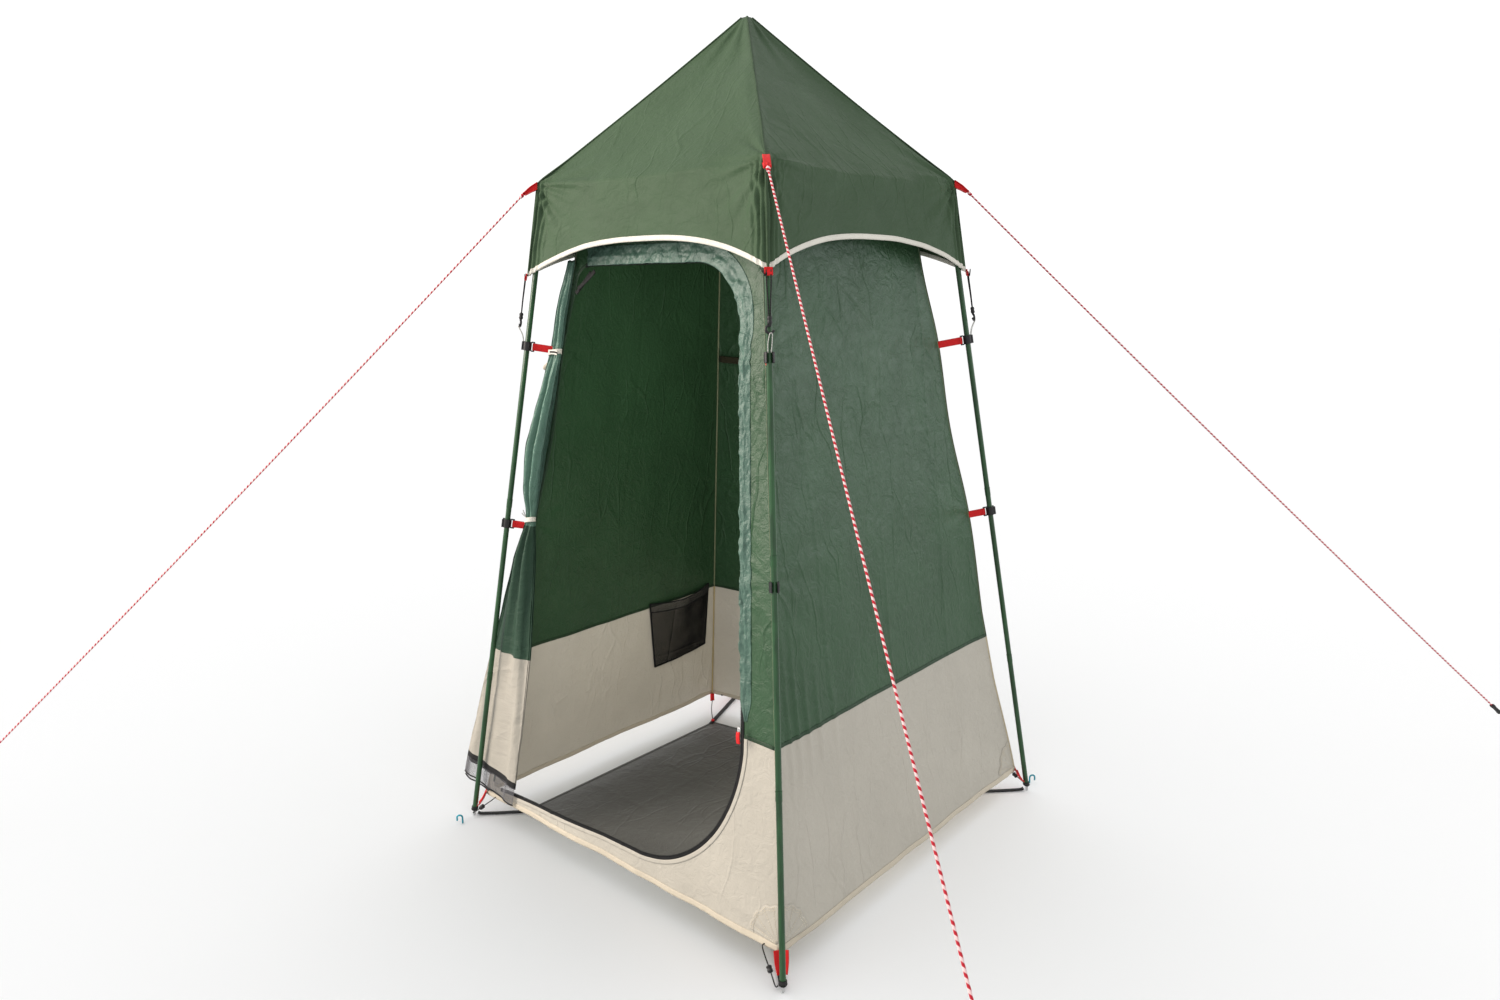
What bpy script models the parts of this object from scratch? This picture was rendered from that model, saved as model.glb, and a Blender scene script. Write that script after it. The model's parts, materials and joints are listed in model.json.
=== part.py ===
"""Privacy shower tent: sectional pole frame, tall canopy with an arched skirt, four hung walls, groundsheet.

Units are metres, +Z is up, and the origin is on the ground at the middle of the four feet.
The door is in the front wall, which faces -Y.
"""

import math

import bmesh
import bpy
from mathutils import Matrix, Vector

# ---------------------------------------------------------------- driving dimensions
FOOT_HALF = 0.605  # pole axis at the ground, from the middle, in X and in Y
EAVE_HALF = 0.387  # pole axis at the eave
EAVE_Z = 1.82
HUB_Z = 2.21
APEX_Z = 2.25
POLE_R = 0.0075
SPIGOT_R = 0.0052
BORE_R = 0.0056
SPIGOT_LENGTH = 0.04
JOINT_HEIGHTS = (0.455, 0.975)  # where a leg's sections meet
PIN_R = 0.0035
PIN_LENGTH = 0.018
PIN_TIP_Z = 0.0005
ELBOW_REACH = 0.055  # from the bend to the end of each of its sockets
ELBOW_BEND = 0.03
ROOF_POLE_SHORT = 0.03  # roof pole's end, from the hub's centre
HUB_DISC_R = 0.016
HUB_DISC_HEIGHT = 0.026
HUB_BOSS_R = 0.0095
SIDES = 12  # facets round a pole

CANOPY_THICKNESS = 0.003
PEAK_HALF = 0.012  # half the width of the canopy's blunt peak
CANOPY_CLEARANCE = 0.014  # canopy corner outside the pole axis, in X and in Y
SKIRT_TIP_Z = 1.594
SKIRT_RISE = 0.078  # height of the hem's arch over its tips
SKIRT_PULL = 0.024  # how far the middle of a panel's hem draws inwards
ROOF_SAG = 0.022

WALL_HALF = 0.585  # wall plane at the ground, from the middle
WALL_LEAN = 0.149  # inward lean for each metre of height
WALL_THICKNESS = 0.002
WALL_TOP_Z = 1.80
HEM_Z = 0.068
CORNER_INSET = 0.003
BACK_LEFT_SLACK = 0.16  # the walls' back left corner hangs this far in from the square, at the ground
WALL_PEAK_Z = WALL_HALF / WALL_LEAN  # the four wall planes meet over the middle here

DOOR_TOP_Z = 1.62
DOOR_LOW_RIGHT = (0.405, 0.48)  # x and z at the foot of the doorway's straight zip edge
DOOR_HIGH_RIGHT = (0.297, 1.43)
DOOR_LOW_LEFT = (-0.54, 0.104)
DOOR_HIGH_LEFT = (-0.326, 1.57)
DOOR_BOTTOM = (0.08, 0.133)  # where the curve of the zip begins
DOOR_TOP_RIGHT_X = 0.13
DOOR_LEFT_CURVE = 0.05
SLIDER_ABOVE = 0.06  # zip slider's place on the straight edge, from its foot
SLIDER_SIZE = (0.009, 0.005, 0.014)
PULL_SIZE = (0.008, 0.003, 0.034)
PULL_BELOW = 0.02  # middle of the pull, below the slider's
ZIP_PROUD = 0.006

STRAP_Z = 1.33
STRAP_INSIDE = 0.012  # towel strap's gap from the back wall
TOWEL_STRAP_WIDTH = 0.022
HANGING_TAB_Z = 1.44
HANGING_TAB_SIZE = (0.022, 0.004, 0.04)
POCKET_THICKNESS = 0.006
POCKET_CORNERS = ((0.30, 0.05), (0.285, 0.30), (0.53, 0.32), (0.535, 0.035))  # height, run from the corner

FLOOR_HALF = 0.50
FLOOR_THICKNESS = 0.002
FLOOR_TAB_HALF = 0.009

CLIP_HEIGHTS = {"upper": 1.405, "lower": 0.905}
CLIP_HEIGHT = 0.022
CLIP_PLAY = 0.0006
CLIP_WALL = 0.004
CLIP_MOUTH = 40  # degrees to each side of the opening's middle
STRAP_WIDTH = 0.02
STRAP_THICKNESS = 0.002

HOOK_OUT = 0.026  # skirt hook's cord, outside the pole axis
HOOK_CORD_SIZE = (0.003, 0.009, 0.1)
HOOK_KNOB_R = 0.0055
HOOK_KNOB_FROM = 0.096
HOOK_BEND_R = 0.0075
HOOK_WIRE_R = 0.002
KNOB_LENGTH = 0.016
TOGGLE_R = 0.0065
TOGGLE_FROM_FOOT = 0.03
LACING_PROUD = 0.012  # lacing's gap from the wall and from the leg
EYELET_FROM_CORNER = 0.045

GUY_R = 0.0025
GUY_OUT = 0.058  # where a guy line leaves its tab, outward and down from the eave's corner
GUY_DOWN = 0.024
GUY_PEGS = {"front_left": (-1.76, -1.76), "front_right": (1.84, -1.48), "back_right": (1.84, 1.84)}
GUY_POINTS = 40
GUY_SAG = 0.012
GUY_TAB_FROM = 0.0205  # the tab's start, outward from the pole axis
RUNNER_FROM_PEG = 0.30
RUNNER_SIZE = (0.014, 0.009, 0.045)
RUNNER_PLAY = 0.0008

PEG_R = 0.0025
PEG_HOOK_R = 0.008
PEG_RISE = 0.018
FOOT_PEGS = {"front_left": (-0.589, -0.655), "back_right": (0.589, 0.655)}

GAP = 0.0003

CORNERS = {"front_left": (-1, -1), "front_right": (1, -1), "back_right": (1, 1), "back_left": (-1, 1)}

# ---------------------------------------------------------------- scene and materials
for old in list(bpy.data.objects):
    bpy.data.objects.remove(old, do_unlink=True)

parts = bpy.data.collections.new("privacy_shower_tent")
cutters = bpy.data.collections.new("cutters")
cutters.hide_render = True
for collection in (parts, cutters):
    bpy.context.scene.collection.children.link(collection)


def material(name, colour, roughness, metallic=0.0):
    made = bpy.data.materials.new(name)
    made.use_nodes = True
    shader = made.node_tree.nodes["Principled BSDF"]
    shader.inputs["Base Color"].default_value = (*colour, 1.0)
    shader.inputs["Roughness"].default_value = roughness
    shader.inputs["Metallic"].default_value = metallic
    return made


POLE_GREEN = material("pole_green", (0.023, 0.07, 0.024), 0.35, 0.3)
BLACK_PLASTIC = material("black_plastic", (0.012, 0.012, 0.013), 0.45)
CANOPY_GREEN = material("canopy_green", (0.1, 0.17, 0.1), 0.6)
WALL_GREEN = material("wall_green", (0.045, 0.1, 0.055), 0.6)
FLOOR_GREY = material("floor_grey", (0.11, 0.11, 0.095), 0.7)
MESH_BLACK = material("mesh_black", (0.02, 0.02, 0.02), 0.8)
WEBBING_RED = material("webbing_red", (0.55, 0.015, 0.02), 0.7)
CORD_RED = material("cord_red", (0.6, 0.05, 0.06), 0.75)
PEG_TEAL = material("peg_teal", (0.02, 0.2, 0.22), 0.4)


# ---------------------------------------------------------------- helpers
def add(name, mesh, finish, smooth=True):
    """A part from a mesh in world space."""
    made = bpy.data.objects.new(name, mesh)
    parts.objects.link(made)
    mesh.materials.clear()
    mesh.materials.append(finish)
    if smooth:
        mesh.shade_smooth()
        mesh.set_sharp_from_angle(angle=math.radians(35))
    return made


def mesh_of(bm, name):
    bmesh.ops.recalc_face_normals(bm, faces=bm.faces)
    mesh = bpy.data.meshes.new(name)
    bm.to_mesh(mesh)
    bm.free()
    return mesh


def frame_at(origin, z_axis, x_hint=(1, 0, 0)):
    """A matrix whose Z runs along z_axis, and whose X is as near x_hint as it can be."""
    z = Vector(z_axis).normalized()
    y = z.cross(Vector(x_hint)).normalized()
    x = y.cross(z)
    matrix = Matrix((x, y, z)).transposed().to_4x4()
    matrix.translation = Vector(origin)
    return matrix


def set_origin(made, point):
    """Puts the object's origin on its joint without moving its shape."""
    made.data.transform(Matrix.Translation(-Vector(point)))
    made.location = point


def turned(name, profile, place, finish):
    """A solid of revolution: profile is (radius, height) from bottom to top, turned about the local Z."""
    bm = bmesh.new()
    rings = []
    for radius, height in profile:
        ring = [
            bm.verts.new((radius * math.cos(a), radius * math.sin(a), height))
            for a in (2 * math.pi * k / SIDES for k in range(SIDES))
        ]
        rings.append(ring)
    for low, high in zip(rings, rings[1:]):
        for k in range(SIDES):
            bm.faces.new((low[k], low[(k + 1) % SIDES], high[(k + 1) % SIDES], high[k]))
    bm.faces.new(rings[0])
    bm.faces.new(rings[-1])
    mesh = mesh_of(bm, name)
    mesh.transform(place)
    return add(name, mesh, finish)


def box_mesh(size, place):
    bm = bmesh.new()
    bmesh.ops.create_cube(bm, size=1.0, matrix=Matrix.Diagonal((*size, 1.0)))
    mesh = mesh_of(bm, "box")
    mesh.transform(place)
    return mesh


def rod_mesh(radius, length, place, segments=SIDES):
    """A cylinder that stands on the local origin."""
    bm = bmesh.new()
    bmesh.ops.create_cone(
        bm, cap_ends=True, segments=segments, radius1=radius, radius2=radius, depth=length,
        matrix=Matrix.Translation((0, 0, length / 2)),
    )
    mesh = mesh_of(bm, "rod")
    mesh.transform(place)
    return mesh


def curve_mesh(curve_object):
    """The evaluated mesh of a curve in world space, its caps welded; the curve is removed."""
    bpy.context.view_layer.update()
    evaluated = curve_object.evaluated_get(bpy.context.evaluated_depsgraph_get())
    mesh = bpy.data.meshes.new_from_object(evaluated)
    mesh.transform(curve_object.matrix_world)
    bm = bmesh.new()
    bm.from_mesh(mesh)
    bmesh.ops.remove_doubles(bm, verts=bm.verts, dist=1e-6)
    bmesh.ops.recalc_face_normals(bm, faces=bm.faces)
    bm.to_mesh(mesh)
    bm.free()
    bpy.data.objects.remove(curve_object, do_unlink=True)
    return mesh


def tube_mesh(points, radius, resolution=2):
    """A wire along the points, with closed ends."""
    curve = bpy.data.curves.new("tube", "CURVE")
    curve.dimensions = "3D"
    curve.bevel_depth = radius
    curve.bevel_resolution = resolution
    curve.use_fill_caps = True
    spline = curve.splines.new("POLY")
    spline.points.add(len(points) - 1)
    for knot, point in zip(spline.points, points):
        knot.co = (*point, 1.0)
    made = bpy.data.objects.new("tube", curve)
    parts.objects.link(made)
    return curve_mesh(made)


def flat_mesh(outlines, thickness, place):
    """A flat outline, with any holes, as a plate centred on the local XY plane."""
    curve = bpy.data.curves.new("flat", "CURVE")
    curve.dimensions = "2D"
    curve.fill_mode = "BOTH"
    curve.extrude = thickness / 2
    for outline in outlines:
        spline = curve.splines.new("POLY")
        spline.points.add(len(outline) - 1)
        spline.use_cyclic_u = True
        for knot, (x, y) in zip(spline.points, outline):
            knot.co = (x, y, 0.0, 1.0)
    made = bpy.data.objects.new("flat", curve)
    parts.objects.link(made)
    made.matrix_world = place
    return curve_mesh(made)


def helper(mesh, name):
    """A cutter or a shape to be joined: never a part itself."""
    made = bpy.data.objects.new(name, mesh)
    cutters.objects.link(made)
    made.hide_render = True
    made.display_type = "WIRE"
    return made


def combine(made, others, operation):
    """Unites other meshes with a part, or cuts them from it."""
    for k, other in enumerate(others):
        step = made.modifiers.new(f"{operation.lower()}_{k}", "BOOLEAN")
        step.operation = operation
        step.solver = "EXACT"
        step.object = helper(other, f"{made.name}_shape_{k}")


def combined(name, base, others, operation, finish):
    """The base mesh with others united with it or cut from it, as one part."""
    made = add(name, base, finish)
    combine(made, others, operation)
    return made


def arc(centre, radii, start, stop, steps=7):
    """Points of an elliptical arc, angles in degrees."""
    angles = [math.radians(start + (stop - start) * k / (steps - 1)) for k in range(steps)]
    return [(centre[0] + radii[0] * math.cos(a), centre[1] + radii[1] * math.sin(a)) for a in angles]


# ---------------------------------------------------------------- geometry of the pitch
def leg_point(corner, z):
    """The axis of a corner's leg at height z."""
    half = FOOT_HALF + (EAVE_HALF - FOOT_HALF) * z / EAVE_Z
    sx, sy = CORNERS[corner]
    return Vector((sx * half, sy * half, z))


def leg_direction(corner):
    return (leg_point(corner, EAVE_Z) - leg_point(corner, 0)).normalized()


def outward(corner):
    sx, sy = CORNERS[corner]
    return Vector((sx, sy, 0)).normalized()


def wall_corner(corner, z):
    """The line where two wall planes meet; the back left one hangs slack."""
    sx, sy = CORNERS[corner]
    y = sy * WALL_HALF - (BACK_LEFT_SLACK if corner == "back_left" else 0)
    shrink = 1 - z / WALL_PEAK_Z
    return Vector((sx * WALL_HALF * shrink, y * shrink, z))


# ---------------------------------------------------------------- frame
def leg_sections(corner):
    """Lower, middle and upper leg sections: each plugs into the one under it with a spigot."""
    direction = leg_direction(corner)
    foot = leg_point(corner, 0)
    total = (leg_point(corner, EAVE_Z) - foot).length
    joints = [height / direction.z for height in JOINT_HEIGHTS]
    elbow_start = total - ELBOW_REACH

    def at(distance):
        return frame_at(foot + direction * distance, direction)

    low = joints[0]
    turned(
        f"leg_lower_{corner}",
        [
            (PIN_R * 0.5, PIN_TIP_Z),
            (PIN_R, PIN_R * 1.6),
            (PIN_R, PIN_LENGTH),
            (POLE_R, PIN_LENGTH),
            (POLE_R, low),
            (BORE_R, low),
            (BORE_R, low - SPIGOT_LENGTH - 0.002),
        ],
        at(0),
        POLE_GREEN,
    )
    for name, start, end in (("middle", joints[0], joints[1]), ("upper", joints[1], elbow_start)):
        length = end - start - GAP
        turned(
            f"leg_{name}_{corner}",
            [
                (SPIGOT_R, -SPIGOT_LENGTH),
                (SPIGOT_R, 0),
                (POLE_R, 0),
                (POLE_R, length),
                (BORE_R, length),
                (BORE_R, length - SPIGOT_LENGTH - 0.002),
            ],
            at(start + GAP),
            POLE_GREEN,
        )


def roof_direction(corner):
    return (Vector((0, 0, HUB_Z)) - leg_point(corner, EAVE_Z)).normalized()


def elbow(corner):
    """A bent tube at the eave, with a spigot into the leg and one into the roof pole."""
    bend = leg_point(corner, EAVE_Z)
    down, up = -leg_direction(corner), roof_direction(corner)
    steps = 5
    points = [bend + down * (ELBOW_REACH - GAP)]
    for k in range(steps + 1):
        t = k / steps
        points.append(bend + down * ELBOW_BEND * (1 - t) ** 2 + up * ELBOW_BEND * t**2)
    points.append(bend + up * (ELBOW_REACH - GAP))
    spigots = [
        rod_mesh(SPIGOT_R, SPIGOT_LENGTH + 0.01, frame_at(bend + way * (ELBOW_REACH - 0.01), way))
        for way in (down, up)
    ]
    combined(f"elbow_{corner}", tube_mesh(points, POLE_R, 4), spigots, "UNION", BLACK_PLASTIC)


def roof_pole(corner):
    bend = leg_point(corner, EAVE_Z)
    up = roof_direction(corner)
    length = (Vector((0, 0, HUB_Z)) - bend).length - ELBOW_REACH - ROOF_POLE_SHORT
    turned(
        f"roof_pole_{corner}",
        [
            (BORE_R, SPIGOT_LENGTH + 0.002),
            (BORE_R, 0),
            (POLE_R, 0),
            (POLE_R, length),
        ],
        frame_at(bend + up * ELBOW_REACH, up),
        POLE_GREEN,
    )


def hub():
    """The four-way connector under the peak: a disc with a blind socket boss towards each roof pole."""
    base = rod_mesh(HUB_DISC_R, HUB_DISC_HEIGHT, Matrix.Translation((0, 0, HUB_Z - HUB_DISC_R)), 16)
    bosses = [
        rod_mesh(HUB_BOSS_R, ROOF_POLE_SHORT - GAP, frame_at((0, 0, HUB_Z), -roof_direction(corner)))
        for corner in CORNERS
    ]
    combined("hub", base, bosses, "UNION", BLACK_PLASTIC)


# ---------------------------------------------------------------- canopy
def canopy_point(corner, across, down):
    """A point of the canopy on the panel that starts at this corner, going anticlockwise.

    across runs from 0 to 1 along the panel, and down from 0 at the peak to 1 at the eave and 2 at the hem.
    """
    names = list(CORNERS)
    following = names[(names.index(corner) + 1) % 4]
    eave_half = EAVE_HALF + CANOPY_CLEARANCE
    hem_half = leg_point("front_right", SKIRT_TIP_Z).x + CANOPY_CLEARANCE
    middle = 4 * across * (1 - across)

    def mixed(half):
        a, b = CORNERS[corner], CORNERS[following]
        return Vector((a[0] + (b[0] - a[0]) * across, a[1] + (b[1] - a[1]) * across, 0)) * half

    inward = -(Vector((*CORNERS[corner], 0)) + Vector((*CORNERS[following], 0))) / 2
    eave_z = EAVE_Z + CANOPY_CLEARANCE - 0.5 * ROOF_SAG * middle
    if down <= 1:
        point = mixed(PEAK_HALF + (eave_half - PEAK_HALF) * down)
        point.z = APEX_Z + (eave_z - APEX_Z) * down
        bow = math.sin(math.pi * down) * ROOF_SAG * (0.4 + 0.6 * middle)
        point.z -= bow * 0.5
        return point + inward * 0.6 * ROOF_SAG * middle * down
    drop = down - 1
    point = mixed(eave_half + (hem_half - eave_half) * drop)
    arch = SKIRT_RISE * (1 - abs(2 * across - 1) ** 2.5)
    point.z = eave_z + (SKIRT_TIP_Z + arch - eave_z) * drop
    pull = 0.6 * ROOF_SAG + (SKIRT_PULL - 0.6 * ROOF_SAG) * drop
    return point + inward * pull * middle


def guy_start(corner):
    eave = leg_point(corner, EAVE_Z + CANOPY_CLEARANCE)
    return eave + outward(corner) * GUY_OUT - Vector((0, 0, GUY_DOWN))


def guy_tab_mesh(corner):
    """The webbing tab sewn into the eave's corner, which tapers to where the guy line is knotted."""
    x = outward(corner)
    y = Vector((0, 0, 1))
    place = Matrix((x, y, x.cross(y))).transposed().to_4x4()
    place.translation = leg_point(corner, EAVE_Z + CANOPY_CLEARANCE)
    tip = GUY_OUT - 0.004
    base = GUY_TAB_FROM
    outline = [(base, -0.013), (tip, -GUY_DOWN - 0.001), (tip, -GUY_DOWN + 0.006), (base, 0.001)]
    return flat_mesh([outline], CANOPY_THICKNESS, place)


def canopy():
    """One shell from the peak to the arched hem, open underneath, with a guy tab at each corner."""
    bm = bmesh.new()
    across_steps = 8
    downs = [0, 0.25, 0.5, 0.75, 1, 1.5, 2]
    rows = []
    for down in downs:
        row = []
        for corner in CORNERS:
            for k in range(across_steps):
                row.append(bm.verts.new(canopy_point(corner, k / across_steps, down)))
        rows.append(row)
    around = 4 * across_steps
    for upper, lower in zip(rows, rows[1:]):
        for k in range(around):
            bm.faces.new((upper[k], lower[k], lower[(k + 1) % around], upper[(k + 1) % around]))
    bm.faces.new(rows[0])
    made = add("canopy", mesh_of(bm, "canopy"), CANOPY_GREEN)
    shell = made.modifiers.new("thickness", "SOLIDIFY")
    shell.thickness = CANOPY_THICKNESS
    shell.offset = -1
    shell.use_even_offset = True
    combine(made, [guy_tab_mesh(corner) for corner in CORNERS], "UNION")


# ---------------------------------------------------------------- walls
def wall_place(start, end):
    """The frame of a wall's plane: X along the wall from start to end, Y up its slope, Z outwards."""
    origin = wall_corner(start, 0)
    x = (wall_corner(end, 0) - origin).normalized()
    up = wall_corner(start, 1) - origin
    z = x.cross(up).normalized()
    matrix = Matrix((x, z.cross(x), z)).transposed().to_4x4()
    matrix.translation = origin
    return matrix


def wall_outline(start, end, place):
    """The four corners of a wall in its own plane, drawn in a little so that neighbours stay apart."""
    to_plane = place.inverted()
    corners = [(start, HEM_Z, 1), (end, HEM_Z, -1), (end, WALL_TOP_Z, -1), (start, WALL_TOP_Z, 1)]
    flat = [(to_plane @ wall_corner(corner, z), inset) for corner, z, inset in corners]
    return [(point.x + inset * CORNER_INSET, point.y) for point, inset in flat]


def front_point(x, z, proud=0.0):
    """A point of the front wall's plane, or proud of it."""
    place = wall_place("front_left", "front_right")
    point = Vector((x, -WALL_HALF + WALL_LEAN * z, z))
    return point + place.to_3x3() @ Vector((0, 0, proud))


def door_outline(place):
    """The D-shaped doorway in the front wall's plane."""
    low_x, low_z = DOOR_LOW_RIGHT
    high_x, high_z = DOOR_HIGH_RIGHT
    left_x, left_z = DOOR_HIGH_LEFT
    bottom_x, bottom_z = DOOR_BOTTOM
    outline = [DOOR_LOW_LEFT]
    outline += arc((bottom_x, low_z), (low_x - bottom_x, low_z - bottom_z), -90, 0, 9)
    outline += arc((DOOR_TOP_RIGHT_X, high_z), (high_x - DOOR_TOP_RIGHT_X, DOOR_TOP_Z - high_z), 0, 90, 8)
    outline += arc((left_x + DOOR_LEFT_CURVE, left_z), (DOOR_LEFT_CURVE, DOOR_TOP_Z - left_z), 90, 180, 4)
    to_plane = place.inverted()
    flat = [to_plane @ front_point(x, z) for x, z in outline]
    return [(point.x, point.y) for point in flat]


def walls():
    names = list(CORNERS)
    labels = {"front_left": "front", "front_right": "right", "back_right": "back", "back_left": "left"}
    for k, start in enumerate(names):
        end = names[(k + 1) % 4]
        place = wall_place(start, end)
        outlines = [wall_outline(start, end, place)]
        if labels[start] == "front":
            outlines.append(door_outline(place))
        mesh = flat_mesh(outlines, WALL_THICKNESS, place)
        add(f"{labels[start]}_wall", mesh, WALL_GREEN, smooth=False)


def door_panel():
    """The door, gathered at the doorway's left edge and tied, between the wall and the leg."""
    rings = (
        # height, left edge, right edge, thickness
        (1.60, -0.352, -0.338, 0.010),
        (1.36, -0.376, -0.350, 0.020),
        (1.10, -0.446, -0.385, 0.030),
        (0.90, -0.448, -0.418, 0.022),
        (0.52, -0.548, -0.395, 0.013),
        (0.095, -0.606, -0.430, 0.006),
    )
    bm = bmesh.new()
    count = 10
    made = []
    for z, left, right, thick in rings:
        ring = []
        for k in range(count):
            angle = 2 * math.pi * k / count
            x = (left + right) / 2 + (right - left) / 2 * math.cos(angle)
            proud = 0.0035 + thick / 2 * (1 + math.sin(angle))
            ring.append(bm.verts.new(front_point(x, z, proud)))
        made.append(ring)
    for upper, lower in zip(made, made[1:]):
        for k in range(count):
            bm.faces.new((upper[k], lower[k], lower[(k + 1) % count], upper[(k + 1) % count]))
    bm.faces.new(made[0])
    bm.faces.new(made[-1])
    add("door_panel", mesh_of(bm, "door_panel"), CANOPY_GREEN)


def zip_slider():
    """The slider and its pull, on the door's straight edge, with its origin on the zip line."""
    low = front_point(*DOOR_LOW_RIGHT, ZIP_PROUD)
    along = (front_point(*DOOR_HIGH_RIGHT, ZIP_PROUD) - low).normalized()
    spot = low + along * SLIDER_ABOVE
    body = box_mesh(SLIDER_SIZE, frame_at(spot, along))
    pull = box_mesh(PULL_SIZE, frame_at(spot - along * PULL_BELOW, along))
    made = combined("zip_slider", body, [pull], "UNION", WEBBING_RED)
    set_origin(made, spot)
    made["axis"] = tuple(along)


# ---------------------------------------------------------------- inside
def back_point(share, z, inside):
    """A point inside the back wall: share runs from its right corner to its left one."""
    place = wall_place("back_right", "back_left")
    point = wall_corner("back_right", z).lerp(wall_corner("back_left", z), share)
    return point - place.to_3x3() @ Vector((0, 0, inside))


def towel_strap():
    """A webbing strap across the inside of the back wall."""
    start, end = back_point(0.04, STRAP_Z, STRAP_INSIDE), back_point(0.96, STRAP_Z, STRAP_INSIDE)
    place = frame_at((start + end) / 2, (0, 0, 1), end - start)
    size = ((end - start).length, STRAP_THICKNESS, TOWEL_STRAP_WIDTH)
    add("towel_strap", box_mesh(size, place), MESH_BLACK)


def hanging_tab():
    spot = back_point(0.47, HANGING_TAB_Z, 0.006)
    run = back_point(0.9, HANGING_TAB_Z, 0) - back_point(0.1, HANGING_TAB_Z, 0)
    add("hanging_tab", box_mesh(HANGING_TAB_SIZE, frame_at(spot, (0, 0, 1), run)), BLACK_PLASTIC)


def mesh_pocket():
    """The flat mesh pocket inside the left wall, beside the back corner."""
    place = wall_place("back_left", "front_left")
    to_plane = place.inverted()
    along = place.to_3x3() @ Vector((1, 0, 0))

    def spot(z, distance):
        """A point of the wall's plane at a distance from the corner seam."""
        point = to_plane @ (wall_corner("back_left", z) + along * distance)
        return point.x, point.y

    outline = [spot(z, distance) for z, distance in POCKET_CORNERS]
    inside = place @ Matrix.Translation((0, 0, -POCKET_THICKNESS / 2 - 0.005))
    add("mesh_pocket", flat_mesh([outline], POCKET_THICKNESS, inside), MESH_BLACK, smooth=False)


def groundsheet():
    """The floor sheet with a webbing tab at each corner that runs to the foot of the leg."""
    outline = []
    for corner, (sx, sy) in CORNERS.items():
        y = sy * FLOOR_HALF - (BACK_LEFT_SLACK if corner == "back_left" else 0)
        tip = Vector((sx * FLOOR_HALF, y, 0))
        foot = leg_point(corner, 0)
        way = (foot - tip).normalized()
        side = Vector((-way.y, way.x, 0)) * FLOOR_TAB_HALF
        end = foot - way * 0.014
        base = tip - way * FLOOR_TAB_HALF
        outline += [(base - side), (end - side), (end + side), (base + side)]
    flat = [(point.x, point.y) for point in outline]
    place = Matrix.Translation((0, 0, FLOOR_THICKNESS / 2))
    add("groundsheet", flat_mesh([flat], FLOOR_THICKNESS, place), FLOOR_GREY, smooth=False)


# ---------------------------------------------------------------- fastenings
def pole_clip(level, corner):
    """A C-clip on the leg, with its webbing strap to the corner of the walls."""
    z = CLIP_HEIGHTS[level]
    centre = leg_point(corner, z)
    target = wall_corner(corner, z)
    inward_way = target - centre
    reach = inward_way.length - 0.004
    place = frame_at(centre, leg_direction(corner), inward_way)
    inner = POLE_R + CLIP_PLAY
    outer = inner + CLIP_WALL
    outline = arc((0, 0), (outer, outer), 180 - CLIP_MOUTH, -180 + CLIP_MOUTH, 15)
    outline += arc((0, 0), (inner, inner), -180 + CLIP_MOUTH, 180 - CLIP_MOUTH, 15)
    ring = flat_mesh([outline], CLIP_HEIGHT, place)
    start = inner + 0.002
    strap_place = place @ Matrix.Translation(((start + reach) / 2, 0, 0))
    strap = box_mesh((reach - start, STRAP_THICKNESS, STRAP_WIDTH), strap_place)
    combined(f"{level}_clip_{corner}", ring, [strap], "UNION", BLACK_PLASTIC)


def skirt_hook(corner):
    """Shock cord, cord end and hook that hang from a skirt tip and pull it down to the clip under it."""
    tip = leg_point(corner, SKIRT_TIP_Z - 0.006) + outward(corner) * HOOK_OUT
    down = -leg_direction(corner)
    place = frame_at(tip, down, outward(corner))
    cords = box_mesh(HOOK_CORD_SIZE, place @ Matrix.Translation((0, 0, HOOK_CORD_SIZE[2] / 2)))
    knob = rod_mesh(HOOK_KNOB_R, KNOB_LENGTH, place @ Matrix.Translation((0, 0, HOOK_KNOB_FROM)), 10)
    knob_end = HOOK_KNOB_FROM + KNOB_LENGTH
    centre = Vector((0, 0, knob_end + HOOK_BEND_R + 0.0025))
    bend = [
        centre + Vector((0, math.sin(a), -math.cos(a))) * HOOK_BEND_R
        for a in (math.radians(270 * k / 9) for k in range(10))
    ]
    path = [place @ point for point in [Vector((0, 0, knob_end - 0.004))] + bend]
    wire = tube_mesh(path, HOOK_WIRE_R)
    made = combined(f"skirt_hook_{corner}", cords, [knob, wire], "UNION", BLACK_PLASTIC)
    set_origin(made, tip)


def hem_toggle(corner):
    """A cord lock on the lacing between the wall's hem and the foot of the leg."""
    sx, sy = CORNERS[corner]
    along_wall = Vector((-sx, 0, 0))
    proud = Vector((0, sy * LACING_PROUD, 0))
    foot = leg_point(corner, PIN_LENGTH - 0.002) + proud + along_wall * LACING_PROUD
    eyelet = wall_corner(corner, HEM_Z) + proud + along_wall * EYELET_FROM_CORNER
    way = (eyelet - foot).normalized()
    spot = foot + way * TOGGLE_FROM_FOOT
    knob = rod_mesh(TOGGLE_R, KNOB_LENGTH, frame_at(spot, way), 10)
    made = add(f"hem_toggle_{corner}", knob, BLACK_PLASTIC)
    set_origin(made, spot)
    made["axis"] = tuple(way)


def peg(name, spot, way):
    """The head of a driven peg, whose hook opens towards way; its shaft is in the ground."""
    foot = Vector((*spot, 0))
    points = [foot]
    for across, height in arc((PEG_HOOK_R, PEG_RISE), (PEG_HOOK_R, PEG_HOOK_R), 180, 0, 9):
        points.append(foot + way * across + Vector((0, 0, height)))
    points.append(points[-1] - Vector((0, 0, PEG_RISE / 2)))
    add(name, tube_mesh(points, PEG_R), PEG_TEAL)


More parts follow.
